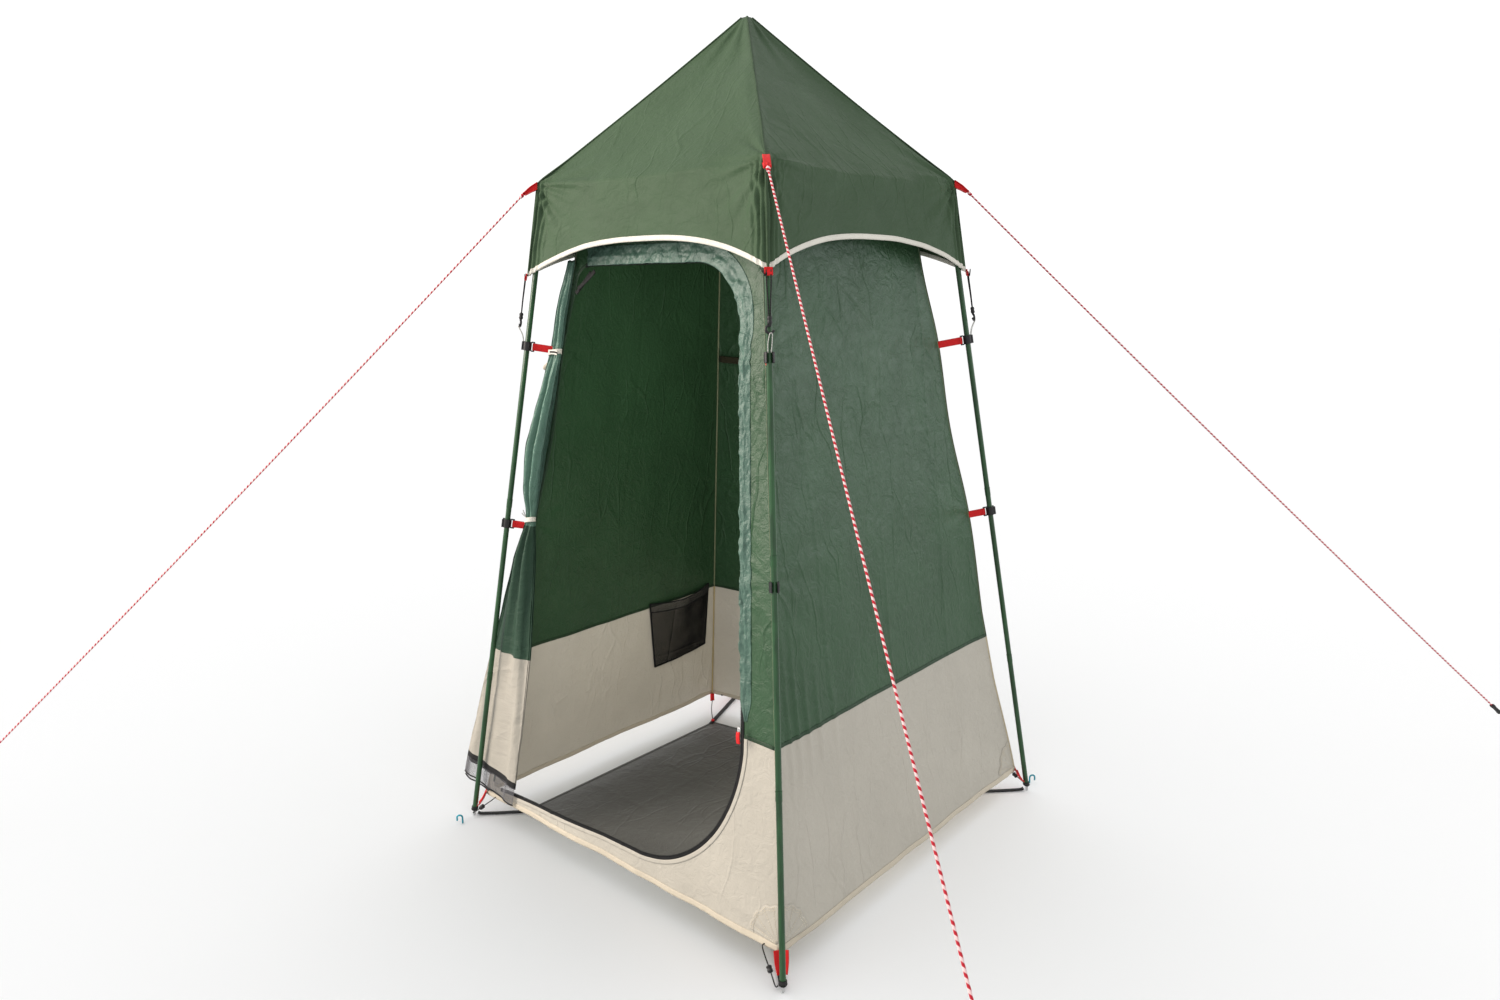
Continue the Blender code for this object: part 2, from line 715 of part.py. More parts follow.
# ---------------------------------------------------------------- guy lines
def guy_point(corner, share):
    """A point of the guy line; share is 0 at the tab and 1 at the peg."""
    start = guy_start(corner)
    pegged = Vector((*GUY_PEGS[corner], PEG_RISE * 0.6))
    end = pegged - (pegged - start).normalized() * (PEG_R + GUY_R + 0.001)
    return start.lerp(end, share) - Vector((0, 0, GUY_SAG * 4 * share * (1 - share)))


def guy_line(corner):
    points = [guy_point(corner, k / (GUY_POINTS - 1)) for k in range(GUY_POINTS)]
    add(f"guy_line_{corner}", tube_mesh(points, GUY_R), CORD_RED)


def guy_runner(corner):
    """A line tensioner: a flat bar with the guy line through its bore."""
    length = (guy_point(corner, 1) - guy_point(corner, 0)).length
    share = 1 - RUNNER_FROM_PEG / length
    spot = guy_point(corner, share)
    way = (guy_point(corner, share + 0.01) - guy_point(corner, share - 0.01)).normalized()
    place = frame_at(spot, way)
    body = box_mesh(RUNNER_SIZE, place)
    through = 2 * RUNNER_SIZE[2]
    bore = rod_mesh(GUY_R + RUNNER_PLAY, through, place @ Matrix.Translation((0, 0, -through / 2)), 10)
    made = combined(f"guy_runner_{corner}", body, [bore], "DIFFERENCE", BLACK_PLASTIC)
    set_origin(made, spot)
    made["axis"] = tuple(way)


# ---------------------------------------------------------------- assembly
hub()
canopy()
walls()
groundsheet()
door_panel()
zip_slider()
towel_strap()
hanging_tab()
mesh_pocket()
for corner in CORNERS:
    leg_sections(corner)
    elbow(corner)
    roof_pole(corner)
    for level in CLIP_HEIGHTS:
        pole_clip(level, corner)
    skirt_hook(corner)
    hem_toggle(corner)
for corner, spot in GUY_PEGS.items():
    guy_line(corner)
    guy_runner(corner)
    peg(f"guy_peg_{corner}", spot, outward(corner))
for corner, spot in FOOT_PEGS.items():
    peg(f"ground_peg_{corner}", spot, outward(corner))
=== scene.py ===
import json
import math

import bmesh
import bpy
import numpy as np
from mathutils import Matrix, Quaternion, Vector

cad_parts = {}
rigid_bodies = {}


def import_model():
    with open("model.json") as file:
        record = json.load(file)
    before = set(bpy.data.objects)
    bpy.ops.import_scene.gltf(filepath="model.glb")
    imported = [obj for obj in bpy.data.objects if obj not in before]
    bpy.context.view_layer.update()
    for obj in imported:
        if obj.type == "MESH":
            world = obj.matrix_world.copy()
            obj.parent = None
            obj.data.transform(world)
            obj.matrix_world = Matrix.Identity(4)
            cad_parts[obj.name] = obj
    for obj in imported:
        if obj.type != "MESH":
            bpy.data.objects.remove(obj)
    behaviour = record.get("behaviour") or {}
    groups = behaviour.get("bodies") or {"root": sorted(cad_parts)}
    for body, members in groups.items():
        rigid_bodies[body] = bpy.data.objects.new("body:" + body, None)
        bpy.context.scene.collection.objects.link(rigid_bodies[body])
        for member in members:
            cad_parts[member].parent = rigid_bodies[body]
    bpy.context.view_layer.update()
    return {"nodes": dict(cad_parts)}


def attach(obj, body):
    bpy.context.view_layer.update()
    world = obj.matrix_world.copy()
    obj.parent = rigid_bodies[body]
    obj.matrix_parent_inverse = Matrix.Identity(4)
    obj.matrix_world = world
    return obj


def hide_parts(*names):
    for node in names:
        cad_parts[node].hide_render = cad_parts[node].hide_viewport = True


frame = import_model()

# ---------------------------------------------------------------- the pitch, as the frame has it
FOOT_HALF = 0.605  # half the distance between two feet, and between two eave corners
EAVE_HALF = 0.387
EAVE_Z = 1.82
POLE_R = 0.0075
CANOPY_EDGE = 0.014  # canopy corner outside the pole axis, in X and in Y
APEX_Z = 2.25
SKIRT_TIP_Z = 1.594
SKIRT_RISE = 0.078  # height of the arch in the skirt's hem
WALL_HALF = 0.585  # half a wall's width at the ground, and what it loses in each metre of height
WALL_LEAN = 0.149
WALL_TOP_Z = 1.80
HEM_Z = 0.068
BORDER_Z = 0.515  # where the green cloth meets the sand coloured one
BACK_LEFT_SLACK = 0.16  # how far the slack corner hangs in
FLOOR_HALF = 0.50
CLIP_HEIGHTS = {"upper": 1.405, "lower": 0.905}
GUY_PEGS = {"front_left": (-1.76, -1.76), "front_right": (1.84, -1.48), "back_right": (1.84, 1.84)}
GUY_R = 0.0025
GUY_SAG = 0.012
PEG_RISE = 0.018
POLE_JOINTS = (0.455, 0.975)  # heights of the two plugs in each leg
FOOT_PEGS = {"front_left": (-0.589, -0.655), "back_right": (0.589, 0.655)}
CORNERS = {"front_left": (-1, -1), "front_right": (1, -1), "back_right": (1, 1), "back_left": (-1, 1)}
NAMES = list(CORNERS)
FABRIC = 0.0009  # thickness of a sheet
UV = "cloth"
FRONT_NORMAL = Vector((0, -1, WALL_LEAN)).normalized()
ROOF_RUN = 0.57  # the canopy cloth from peak to eave, and from eave to hem
SKIRT_RUN = 0.22

# colours, as linear RGB
ROOF_GREEN = (0.047, 0.079, 0.043)
WALL_GREEN = (0.026, 0.067, 0.029)
DOOR_GREEN = (0.058, 0.118, 0.088)
# painted shade: a darker copy of the door's green for the gathered door below its lower tie
DOOR_SHADED_GREEN = (0.022, 0.050, 0.031)
SAND = (0.405, 0.378, 0.325)
SAND_EDGE = (0.48, 0.425, 0.335)
CREAM = (0.60, 0.575, 0.51)
FLOOR_GREY = (0.082, 0.083, 0.078)
RED = (0.60, 0.012, 0.014)
BLACK = (0.007, 0.007, 0.0075)
POLE_GREEN = (0.010, 0.048, 0.014)
TEAL = (0.005, 0.20, 0.26)
DARK, WHITE = (0, 0, 0), (1, 1, 1)  # the two ends of a mask


# ---------------------------------------------------------------- camera
def make_camera():
    data = bpy.data.cameras.new("camera")
    data.sensor_width = 36
    data.lens = 24.03
    data.shift_y = -0.0027
    made = bpy.data.objects.new("camera", data)
    bpy.context.scene.collection.objects.link(made)
    azimuth, elevation, roll = (math.radians(a) for a in (41.274, 11.79, -0.657))
    flat = math.cos(elevation)
    back = Vector((math.sin(azimuth) * flat, -math.cos(azimuth) * flat, math.sin(elevation)))
    made.rotation_mode = "QUATERNION"
    made.rotation_quaternion = (-back).to_track_quat("-Z", "Y") @ Quaternion((0, 0, 1), roll)
    made.location = (1.8645, -2.1335, 1.5577)
    bpy.context.scene.camera = made


# ---------------------------------------------------------------- noise and folds
LATTICE = np.random.default_rng(11).random((64, 64))


def noise(x, y, seed=0):
    """Smooth noise from -1 to 1 with a bump about every unit, on turned axes so that no grid shows."""
    x, y = np.broadcast_arrays(np.asarray(x, float), np.asarray(y, float))
    x, y = 0.83 * x + 0.56 * y + seed * 17.31, -0.56 * x + 0.83 * y + seed * 5.77
    i, j = np.floor(x).astype(int), np.floor(y).astype(int)
    fx, fy = x - i, y - j
    fx, fy = fx**3 * (fx * (fx * 6 - 15) + 10), fy**3 * (fy * (fy * 6 - 15) + 10)

    def at(a, b):
        return LATTICE[a % 64, b % 64]

    low = at(i, j) * (1 - fx) + at(i + 1, j) * fx
    high = at(i, j + 1) * (1 - fx) + at(i + 1, j + 1) * fx
    return 2 * (low * (1 - fy) + high * fy) - 1


def ridges(x, y, seed=0):
    """Thin raised creases between flat facets, from 0 to 1."""
    bent_x = x + 0.35 * noise(x * 0.7, y * 0.7, seed + 3)
    bent_y = y + 0.35 * noise(x * 0.7, y * 0.7, seed + 4)
    return (1 - np.abs(noise(bent_x, bent_y, seed))) ** 4


def ease(value, low, high):
    """0 below low and 1 above high, smooth between them."""
    share = np.clip((value - low) / (high - low), 0, 1)
    return share * share * (3 - 2 * share)


def unit(vectors):
    return vectors / np.linalg.norm(vectors, axis=-1, keepdims=True)


def run_of(path):
    """The distance along a path at each of its points."""
    return np.concatenate([[0], np.cumsum(np.linalg.norm(np.diff(path, axis=0), axis=1))])


def outer_side(path):
    """The direction to the right of a flat path at each of its points."""
    way = unit(np.gradient(path, axis=0))
    return np.stack([way[:, 1], -way[:, 0]], -1)


def at_run(where, run, values):
    """Rows of values, given at each distance in run, read off at the distances in where."""
    return np.stack([np.interp(where, run, values[:, k]) for k in range(values.shape[1])], -1)


def paired(u, v):
    """UVs from two arrays that broadcast against each other."""
    return np.stack(np.broadcast_arrays(u, v), -1)


def rise(height):
    return Vector((0, 0, height))


def fan(x, y, anchor, reach, count, height, seed, aim=None):
    """Creases that spread from an anchor and die away with distance."""
    dx, dy = x - anchor[0], y - anchor[1]
    distance, angle = np.hypot(dx, dy), np.arctan2(dy, dx)
    wave = np.cos(angle * count + 1.2 * noise(distance * 7, angle * 1.5, seed))
    wave = np.sign(wave) * np.abs(wave) ** 0.8
    shown = np.exp(-distance / reach) * distance / (distance + 0.02)
    if aim is not None:
        shown = shown * np.clip(np.cos(angle - aim), 0, 1) ** 2
    return height * shown * wave


def blend(a, b, share):
    """From points a to points b by a share for each point."""
    return a * (1 - share[..., None]) + b * share[..., None]


# ---------------------------------------------------------------- geometry of the pitch
def leg_point(corner, z):
    half = FOOT_HALF + (EAVE_HALF - FOOT_HALF) * z / EAVE_Z
    sx, sy = CORNERS[corner]
    return Vector((sx * half, sy * half, z))


def leg_direction(corner):
    return (leg_point(corner, EAVE_Z) - leg_point(corner, 0)).normalized()


def outward(corner):
    return Vector((*CORNERS[corner], 0)).normalized()


def front_at(x, z, proud):
    """A point on the front wall's plane, proud of it."""
    return Vector((x, -WALL_HALF + WALL_LEAN * z, z)) + FRONT_NORMAL * proud


def wall_corner(corner, z):
    """The line where two walls meet, as arrays over z, pulled in a little between its straps."""
    z = np.asarray(z, float)
    sx, sy = CORNERS[corner]
    shrink = 1 - z * WALL_LEAN / WALL_HALF
    slack = BACK_LEFT_SLACK if corner == "back_left" else 0
    low, high = CLIP_HEIGHTS["lower"], CLIP_HEIGHTS["upper"]
    pulls = [HEM_Z, low, high, WALL_TOP_Z]
    inset = np.zeros_like(z)
    for start, end in zip(pulls, pulls[1:]):
        share = np.clip((z - start) / (end - start), 0, 1)
        inset += 0.007 * (end - start) / 0.5 * np.sin(np.pi * share) ** 2 * ((z >= start) & (z < end))
    half = WALL_HALF * shrink - np.minimum(inset, 0.010)
    return np.stack([sx * half, sy * half - slack * shrink, z], -1)


# ---------------------------------------------------------------- meshes
def finish_mesh(name, mesh, finishes, body="root"):
    """The mesh as a smooth piece with its finishes, riding a body, under the given name."""
    made = bpy.data.objects.new(name, mesh)
    bpy.context.scene.collection.objects.link(made)
    for finish in finishes:
        mesh.materials.append(finish)
    mesh.shade_smooth()
    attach(made, body)
    return made


def sheet_piece(name, points, uv, finish, thickness=None):
    """One patch of cloth or netting as a piece of its own, thickened if it is to be."""
    made = finish_mesh(name, grid_mesh(name, [(points, uv)]), [finish])
    return thicken(made, thickness) if thickness else made


def tube_piece(name, points, radius, sides, finish, body="root", bump=None):
    return finish_mesh(name, tube_mesh(name, points, radius, sides, bump), [finish], body)


def grid_faces(rows, columns, closed=False):
    index = np.arange(rows * columns).reshape(rows, columns)
    if closed:
        index = np.concatenate([index, index[:, :1]], 1)
    return np.stack([index[:-1, :-1], index[:-1, 1:], index[1:, 1:], index[1:, :-1]], -1).reshape(-1, 4)


def grid_mesh(name, patches):
    """A mesh from patches, each (points, uv) with points of shape (rows, columns, 3)."""
    points, faces, uvs = [], [], []
    start = 0
    for grid, uv in patches:
        rows, columns = grid.shape[:2]
        quads = grid_faces(rows, columns)
        points.append(grid.reshape(-1, 3))
        faces.append(quads + start)
        uvs.append(uv.reshape(-1, 2)[quads.ravel()])
        start += rows * columns
    mesh = bpy.data.meshes.new(name)
    mesh.from_pydata(np.concatenate(points).tolist(), [], np.concatenate(faces).tolist())
    layer = mesh.uv_layers.new(name=UV)
    layer.data.foreach_set("uv", np.concatenate(uvs).astype(np.float32).ravel())
    return mesh


def weld(mesh, distance=1e-5):
    bm = bmesh.new()
    bm.from_mesh(mesh)
    bmesh.ops.remove_doubles(bm, verts=bm.verts, dist=distance)
    bm.to_mesh(mesh)
    bm.free()


def thicken(made, thickness=FABRIC, offset=0.0, inside=0):
    """Give a sheet its thickness; its inner face may take the finish that many slots further on."""
    step = made.modifiers.new("thickness", "SOLIDIFY")
    step.material_offset = inside
    step.thickness = thickness
    step.offset = offset
    return made


def rounded(made, width):
    step = made.modifiers.new("round", "BEVEL")
    step.width = width
    step.segments = 2
    step.limit_method = "ANGLE"
    step.angle_limit = math.radians(40)
    return made


def normals(grid):
    """Unit normals of a grid of points."""
    along = np.gradient(grid, axis=1)
    down = np.gradient(grid, axis=0)
    normal = np.cross(along, down)
    return normal / np.maximum(np.linalg.norm(normal, axis=-1, keepdims=True), 1e-12)


def frames_along(points):
    """Two steady side vectors at each point of a path."""
    points = np.asarray(points, float)
    way = unit(np.gradient(points, axis=0))
    side = np.zeros_like(way)
    last = np.cross(way[0], (0.13, 0.29, 0.95))
    for k, w in enumerate(way):
        last = last - w * (last @ w)
        last /= np.linalg.norm(last)
        side[k] = last
    return way, side, np.cross(way, side)


def tube_mesh(name, points, radius, sides=12, bump=None):
    """A tube closed at both ends, with its length along V; bump(angle, length) adds to the radius."""
    points = np.asarray(points, float)
    way, side, up = frames_along(points)
    length = run_of(points)
    angle = 2 * np.pi * np.arange(sides) / sides
    r = np.broadcast_to(np.asarray(radius, float), (len(points),))[:, None] * np.ones((1, sides))
    if bump is not None:
        r = r + bump(angle[None, :], length[:, None])
    ring = np.cos(angle)[None, :, None] * side[:, None] + np.sin(angle)[None, :, None] * up[:, None]
    grid = points[:, None] + ring * r[..., None]
    quads = grid_faces(len(points), sides, closed=True).tolist()
    count = len(points) * sides
    vertices = np.concatenate([grid.reshape(-1, 3), points[:1], points[-1:]])
    caps = []
    for k in range(sides):
        caps.append((count, (k + 1) % sides, k))
        caps.append((count + 1, count - sides + k, count - sides + (k + 1) % sides))
    mesh = bpy.data.meshes.new(name)
    mesh.from_pydata(vertices.tolist(), [], quads + caps)
    u = np.arange(sides + 1) / sides
    coordinates = []
    for low, high in zip(length, length[1:]):
        for k in range(sides):
            coordinates += [u[k], low, u[k + 1], low, u[k + 1], high, u[k], high]
    coordinates += ([0] * 6 + [0, length[-1]] * 3) * sides
    layer = mesh.uv_layers.new(name=UV)
    layer.data.foreach_set("uv", np.array(coordinates, np.float32))
    return mesh


def smooth_path(points, count):
    """An even curve through the points (Catmull-Rom)."""
    p = np.asarray([tuple(q) for q in points], float)
    p = np.concatenate([2 * p[:1] - p[1:2], p, 2 * p[-1:] - p[-2:-1]])
    spans = len(p) - 3
    t = np.linspace(0, spans, count)
    k = np.minimum(t.astype(int), spans - 1)
    f = (t - k)[:, None]
    a, b, c, d = p[k], p[k + 1], p[k + 2], p[k + 3]
    return 0.5 * (2 * b + (c - a) * f + (2 * a - 5 * b + 4 * c - d) * f**2 + (3 * b - a - 3 * c + d) * f**3)


def ribbon_mesh(name, middle, across, half, columns=5, crown=0.0, normal=None):
    """A strip along middle, half wide to each side of it in the direction across."""
    t = np.linspace(-1, 1, columns)
    grid = middle[:, None] + across[:, None] * (t * half)[None, :, None]
    if crown:
        grid = grid + normal[:, None] * (crown * (1 - t**2))[None, :, None]
    return grid_mesh(name, [(grid, paired((t * half)[None, :], run_of(middle)[:, None]))])


# ---------------------------------------------------------------- materials
def blank(name, colour, roughness, metallic=0.0, **sockets):
    made = bpy.data.materials.new(name)
    made.use_nodes = True
    tree = made.node_tree
    shader = tree.nodes["Principled BSDF"]
    shader.inputs["Base Color"].default_value = (*colour, 1)
    shader.inputs["Roughness"].default_value = roughness
    shader.inputs["Metallic"].default_value = metallic
    for socket, value in sockets.items():
        shader.inputs[socket.replace("_", " ")].default_value = value
    return made, tree, shader


def put(tree, kind, inputs=None, **settings):
    """A node with its settings; inputs maps a socket to a value or to another node's output."""
    made = tree.nodes.new(kind)
    for key, value in settings.items():
        setattr(made, key, value)
    for key, value in (inputs or {}).items():
        if isinstance(value, bpy.types.NodeSocket):
            tree.links.new(value, made.inputs[key])
        else:
            made.inputs[key].default_value = value
    return made


def math_node(tree, operation, a, b=0.0):
    return put(tree, "ShaderNodeMath", {0: a, 1: b}, operation=operation).outputs[0]


def place_on(tree, on_cloth=True, scale=(1, 1, 1)):
    """Metres on the cloth, or metres in space."""
    if on_cloth:
        source = put(tree, "ShaderNodeUVMap", uv_map=UV).outputs[0]
    else:
        source = put(tree, "ShaderNodeTexCoord").outputs["Object"]
    return put(tree, "ShaderNodeMapping", {"Vector": source, "Scale": scale}).outputs[0]


def noise_node(tree, place, scale, detail=4.0, distortion=0.0, roughness=0.55):
    inputs = {"Scale": scale, "Detail": detail, "Distortion": distortion, "Roughness": roughness}
    return put(tree, "ShaderNodeTexNoise", {"Vector": place, **inputs}).outputs["Fac"]


def wave_node(tree, place, period, direction):
    inputs = {"Vector": place, "Scale": 0.314159 / period}
    return put(tree, "ShaderNodeTexWave", inputs, bands_direction=direction).outputs["Fac"]


def ramp(tree, fac, low, high, start=0.0, end=1.0):
    made = put(tree, "ShaderNodeValToRGB", {"Fac": fac})
    made.color_ramp.elements[0].position = start
    made.color_ramp.elements[1].position = end
    made.color_ramp.elements[0].color = (*low, 1)
    made.color_ramp.elements[1].color = (*high, 1)
    return made.outputs["Color"]


def mixed(tree, fac, a, b, blend="MIX"):
    made = put(tree, "ShaderNodeMix", data_type="RGBA", blend_type=blend)
    for key, value in ((0, fac), (6, a), (7, b)):
        if isinstance(value, bpy.types.NodeSocket):
            tree.links.new(value, made.inputs[key])
        else:
            made.inputs[key].default_value = value if key == 0 else (*value, 1)
    return made.outputs[2]


def bumped(tree, shader, steps):
    """Chains bumps, each (height, strength, distance), into the shader's normal."""
    last = None
    for height, strength, distance in steps:
        inputs = {"Height": height, "Strength": strength, "Distance": distance}
        if last is not None:
            inputs["Normal"] = last
        last = put(tree, "ShaderNodeBump", inputs).outputs["Normal"]
    tree.links.new(last, shader.inputs["Normal"])


def scaled(colour, factor):
    return tuple(min(1.0, c * factor) for c in colour)


def fabric(name, colour, roughness=0.5, sheen=0.05, crinkle=0.3, vary=0.14, weave=0.0011, shine=0.3):
    """Woven coated cloth: thread pattern, fine crinkles, mottled colour and a soft sheen."""
    sockets = {"Sheen_Weight": sheen, "Sheen_Roughness": 0.4, "Specular_IOR_Level": shine}
    made, tree, shader = blank(name, colour, roughness, **sockets)
    place = place_on(tree)
    broad = noise_node(tree, place, 3.5, 5, 0.6)
    tint = ramp(tree, broad, scaled(colour, 1 - vary), scaled(colour, 1 + vary), 0.3, 0.7)
    warp, weft = wave_node(tree, place, weave, "X"), wave_node(tree, place, weave, "Y")
    threads = math_node(tree, "MULTIPLY", warp, weft)
    shade = mixed(tree, 0.10, tint, ramp(tree, threads, (0.25,) * 3, WHITE), "MULTIPLY")
    tree.links.new(shade, shader.inputs["Base Color"])
    rough = ramp(tree, noise_node(tree, place, 9, 3), (roughness - 0.08,) * 3, (roughness + 0.1,) * 3)
    tree.links.new(rough, shader.inputs["Roughness"])
    creases = noise_node(tree, place, 26, 6, 1.4, 0.6)
    fine = noise_node(tree, place, 85, 4, 0.8)
    # long packing creases: the edges of stretched cells, bent a little and only here and there
    bend = put(tree, "ShaderNodeTexNoise", {"Vector": place, "Scale": 4.0, "Detail": 2.0}).outputs["Color"]
    small = put(tree, "ShaderNodeVectorMath", {0: bend, "Scale": 0.16}, operation="SCALE").outputs[0]
    bent = put(tree, "ShaderNodeVectorMath", {0: place, 1: small}, operation="ADD").outputs[0]
    tall = put(tree, "ShaderNodeMapping", {"Vector": bent, "Scale": (2.3, 0.55, 1)}).outputs[0]
    cells = put(tree, "ShaderNodeTexVoronoi", {"Vector": tall, "Scale": 5.5}, feature="DISTANCE_TO_EDGE")
    lines = ramp(tree, cells.outputs["Distance"], WHITE, DARK, 0.0, 0.05)
    where = ramp(tree, noise_node(tree, place, 3.1, 2), DARK, WHITE, 0.42, 0.62)
    packed = mixed(tree, 1.0, lines, where, "MULTIPLY")
    coarse = [(packed, crinkle * 1.3, 0.004), (creases, crinkle, 0.012)]
    bumped(tree, shader, [*coarse, (fine, crinkle * 0.6, 0.003), (threads, 0.12, 0.0003)])
    return made


def webbing(name, colour, roughness=0.65, rib=0.0022):
    """Woven webbing: ribs across the strap and a darker groove between them."""
    made, tree, shader = blank(name, colour, roughness, Sheen_Weight=0.03, Specular_IOR_Level=0.18)
    place = place_on(tree)
    ribs = wave_node(tree, place, rib, "Y")
    fuzz = noise_node(tree, place, 300, 3)
    tint = ramp(tree, ribs, scaled(colour, 0.55), scaled(colour, 1.2))
    tint = mixed(tree, 0.25, tint, ramp(tree, fuzz, scaled(colour, 0.6), scaled(colour, 1.3)))
    tree.links.new(tint, shader.inputs["Base Color"])
    bumped(tree, shader, [(ribs, 0.5, 0.0006), (fuzz, 0.3, 0.0003)])
    return made


def plastic(name, colour, roughness=0.38):
    made, tree, shader = blank(name, colour, roughness, Specular_IOR_Level=0.35)
    place = place_on(tree, False)
    grain = noise_node(tree, place, 900, 3)
    wear = noise_node(tree, place, 60, 5)
    tree.links.new(ramp(tree, wear, colour, scaled(colour, 2.2), 0.55, 0.85), shader.inputs["Base Color"])
    tree.links.new(ramp(tree, wear, (roughness,) * 3, (roughness + 0.2,) * 3), shader.inputs["Roughness"])
    bumped(tree, shader, [(grain, 0.15, 0.0003)])
    return made


def enamel(name, colour, metallic=0.1, roughness=0.25):
    """Paint on tube: a clear coat, faint orange peel and rubbed streaks."""
    sockets = {"Coat_Weight": 0.3, "Coat_Roughness": 0.1, "Specular_IOR_Level": 0.3}
    made, tree, shader = blank(name, colour, roughness, metallic, **sockets)
    place = place_on(tree, False, (1, 1, 0.12))
    streaks = noise_node(tree, place, 70, 5, 0.5)
    peel = noise_node(tree, place_on(tree, False), 420, 2)
    tint = ramp(tree, streaks, scaled(colour, 0.75), scaled(colour, 1.7), 0.35, 0.8)
    tree.links.new(tint, shader.inputs["Base Color"])
    tree.links.new(ramp(tree, streaks, (roughness,) * 3, (roughness + 0.22,) * 3), shader.inputs["Roughness"])
    bumped(tree, shader, [(peel, 0.06, 0.0004)])
    return made


def braid(name, dark, light, pitch=0.013):
    """A braided cord with a light tracer that winds round it."""
    made, tree, shader = blank(name, dark, 0.7, Sheen_Weight=0.03, Specular_IOR_Level=0.2)
    source = put(tree, "ShaderNodeUVMap", uv_map=UV).outputs[0]
    parts = put(tree, "ShaderNodeSeparateXYZ", {0: source})
    turn = math_node(tree, "MULTIPLY", parts.outputs[0], 2 * math.pi)
    run = math_node(tree, "MULTIPLY", parts.outputs[1], 2 * math.pi / pitch)
    spiral = math_node(tree, "SINE", math_node(tree, "ADD", turn, run))
    counter = math_node(tree, "SINE", math_node(tree, "SUBTRACT", math_node(tree, "MULTIPLY", turn, 4), run))
    light_part = ramp(tree, math_node(tree, "MULTIPLY_ADD", spiral, 0.5), DARK, WHITE, 0.45, 0.55)
    fast = math_node(tree, "SINE", math_node(tree, "MULTIPLY", run, 6))
    strands = math_node(tree, "MULTIPLY", fast, counter)
    base = mixed(tree, light_part, dark, light)
    tint = mixed(tree, 0.35, base, ramp(tree, strands, (0.35, 0.3, 0.3), WHITE), "MULTIPLY")
    tree.links.new(tint, shader.inputs["Base Color"])
    bumped(tree, shader, [(strands, 0.5, 0.0005)])
    return made


def net(name, colour):
    made, tree, shader = blank(name, colour, 0.75, Specular_IOR_Level=0.15)
    place = place_on(tree, False)
    fuzz = noise_node(tree, place, 500, 2)
    tree.links.new(ramp(tree, fuzz, scaled(colour, 0.6), scaled(colour, 1.6)), shader.inputs["Base Color"])
    return made


ROOF = fabric("roof_cloth", ROOF_GREEN, 0.44, 0.0, 0.30, 0.10, shine=0.06)
GREEN = fabric("wall_cloth", WALL_GREEN, 0.40, 0.0, 0.40, 0.12, shine=0.3)
DOOR = fabric("door_cloth", DOOR_GREEN, 0.40, 0.03, 0.5, 0.14, shine=0.40)
# painted light: the gathered door above its lower tie is the door cloth painted 1.4 times lighter
DOOR_UPPER_LIT = fabric("door_cloth_painted_light", scaled(DOOR_GREEN, 1.4), 0.40, 0.03, 0.5, 0.14, shine=0.40)
# painted shade: the gathered door below its lower tie, the door cloth painted darker; both faces take it
DOOR_LOW_SHADED = fabric("door_cloth_painted_shade", DOOR_SHADED_GREEN, 0.5, 0.02, 0.4, 0.14, shine=0.16)
BEIGE = fabric("splash_cloth", SAND, 0.44, 0.03, 0.34, 0.05, shine=0.16)
# painted shade: the door's sand band is the walls' splash cloth painted darker (0.82), as shade on the
# gathered door
SAND_DOOR_SHADED = fabric("door_splash_painted_shade", scaled(SAND, 0.82), 0.44, 0.03, 0.34, 0.05, shine=0.16)
# painted light: the sand band's inner face is the same splash cloth painted 1.45 times lighter, standing in
# for light inside the tent
SAND_INSIDE_LIT = fabric("splash_cloth_painted_light", scaled(SAND, 1.45), 0.44, 0.03, 0.34, 0.05, shine=0.16)
BEIGE_EDGE = fabric("splash_hem", SAND_EDGE, 0.6, 0.05, 0.3, 0.08)
SEAM_THREAD = plastic("pale_thread", (0.62, 0.54, 0.40), 0.6)
BINDING = fabric("cream_binding", CREAM, 0.7, 0.05, 0.4, 0.06, 0.0016)
SEAM = fabric("seam_cloth", scaled(WALL_GREEN, 0.62), 0.55, 0.03, 0.4, 0.1)
ROOF_SEAM = fabric("roof_seam", scaled(ROOF_GREEN, 0.8), 0.5, 0.0, 0.4, 0.1, shine=0.06)
SHEET = fabric("floor_cloth", FLOOR_GREY, 0.45, 0.05, 0.35, 0.12, 0.0022, shine=0.5)
TAPE = webbing("zip_tape", BLACK, 0.6, 0.0015)
STRAP = webbing("black_strap", BLACK, 0.6)
OLIVE_STRAP = webbing("olive_strap", (0.030, 0.027, 0.014), 0.7)
BAND_MESH = net("pocket_band", (0.03, 0.03, 0.028))
RED_STRAP = webbing("red_strap", RED, 0.6)
MESH = net("pocket_net", (0.008, 0.008, 0.008))
GREY_MESH = net("door_net", (0.14, 0.14, 0.15))
MOULDED = plastic("black_moulding", BLACK)
RED_MOULDED = plastic("red_moulding", RED, 0.35)
POLE = enamel("pole_paint", POLE_GREEN)
STEEL = enamel("bare_steel", (0.5, 0.5, 0.5), 1.0, 0.3)
PEG = enamel("peg_paint", TEAL, 0.2, 0.35)
GUY = braid("guy_braid", (0.50, 0.012, 0.03), (0.85, 0.62, 0.62))
CREAM_MOULDED = plastic("cream_moulding", (0.50, 0.44, 0.35), 0.45)
PALE_SEAM = fabric("pale_seam", (0.20, 0.22, 0.13), 0.6, 0.05, 0.3, 0.1)
PALE_SEAM_LOW = fabric("pale_seam_low", (0.50, 0.40, 0.20), 0.6, 0.05, 0.3, 0.1)
SHEET_EDGE = fabric("floor_edge", scaled(FLOOR_GREY, 0.8), 0.6, 0.15, 0.3, 0.1, 0.0022)
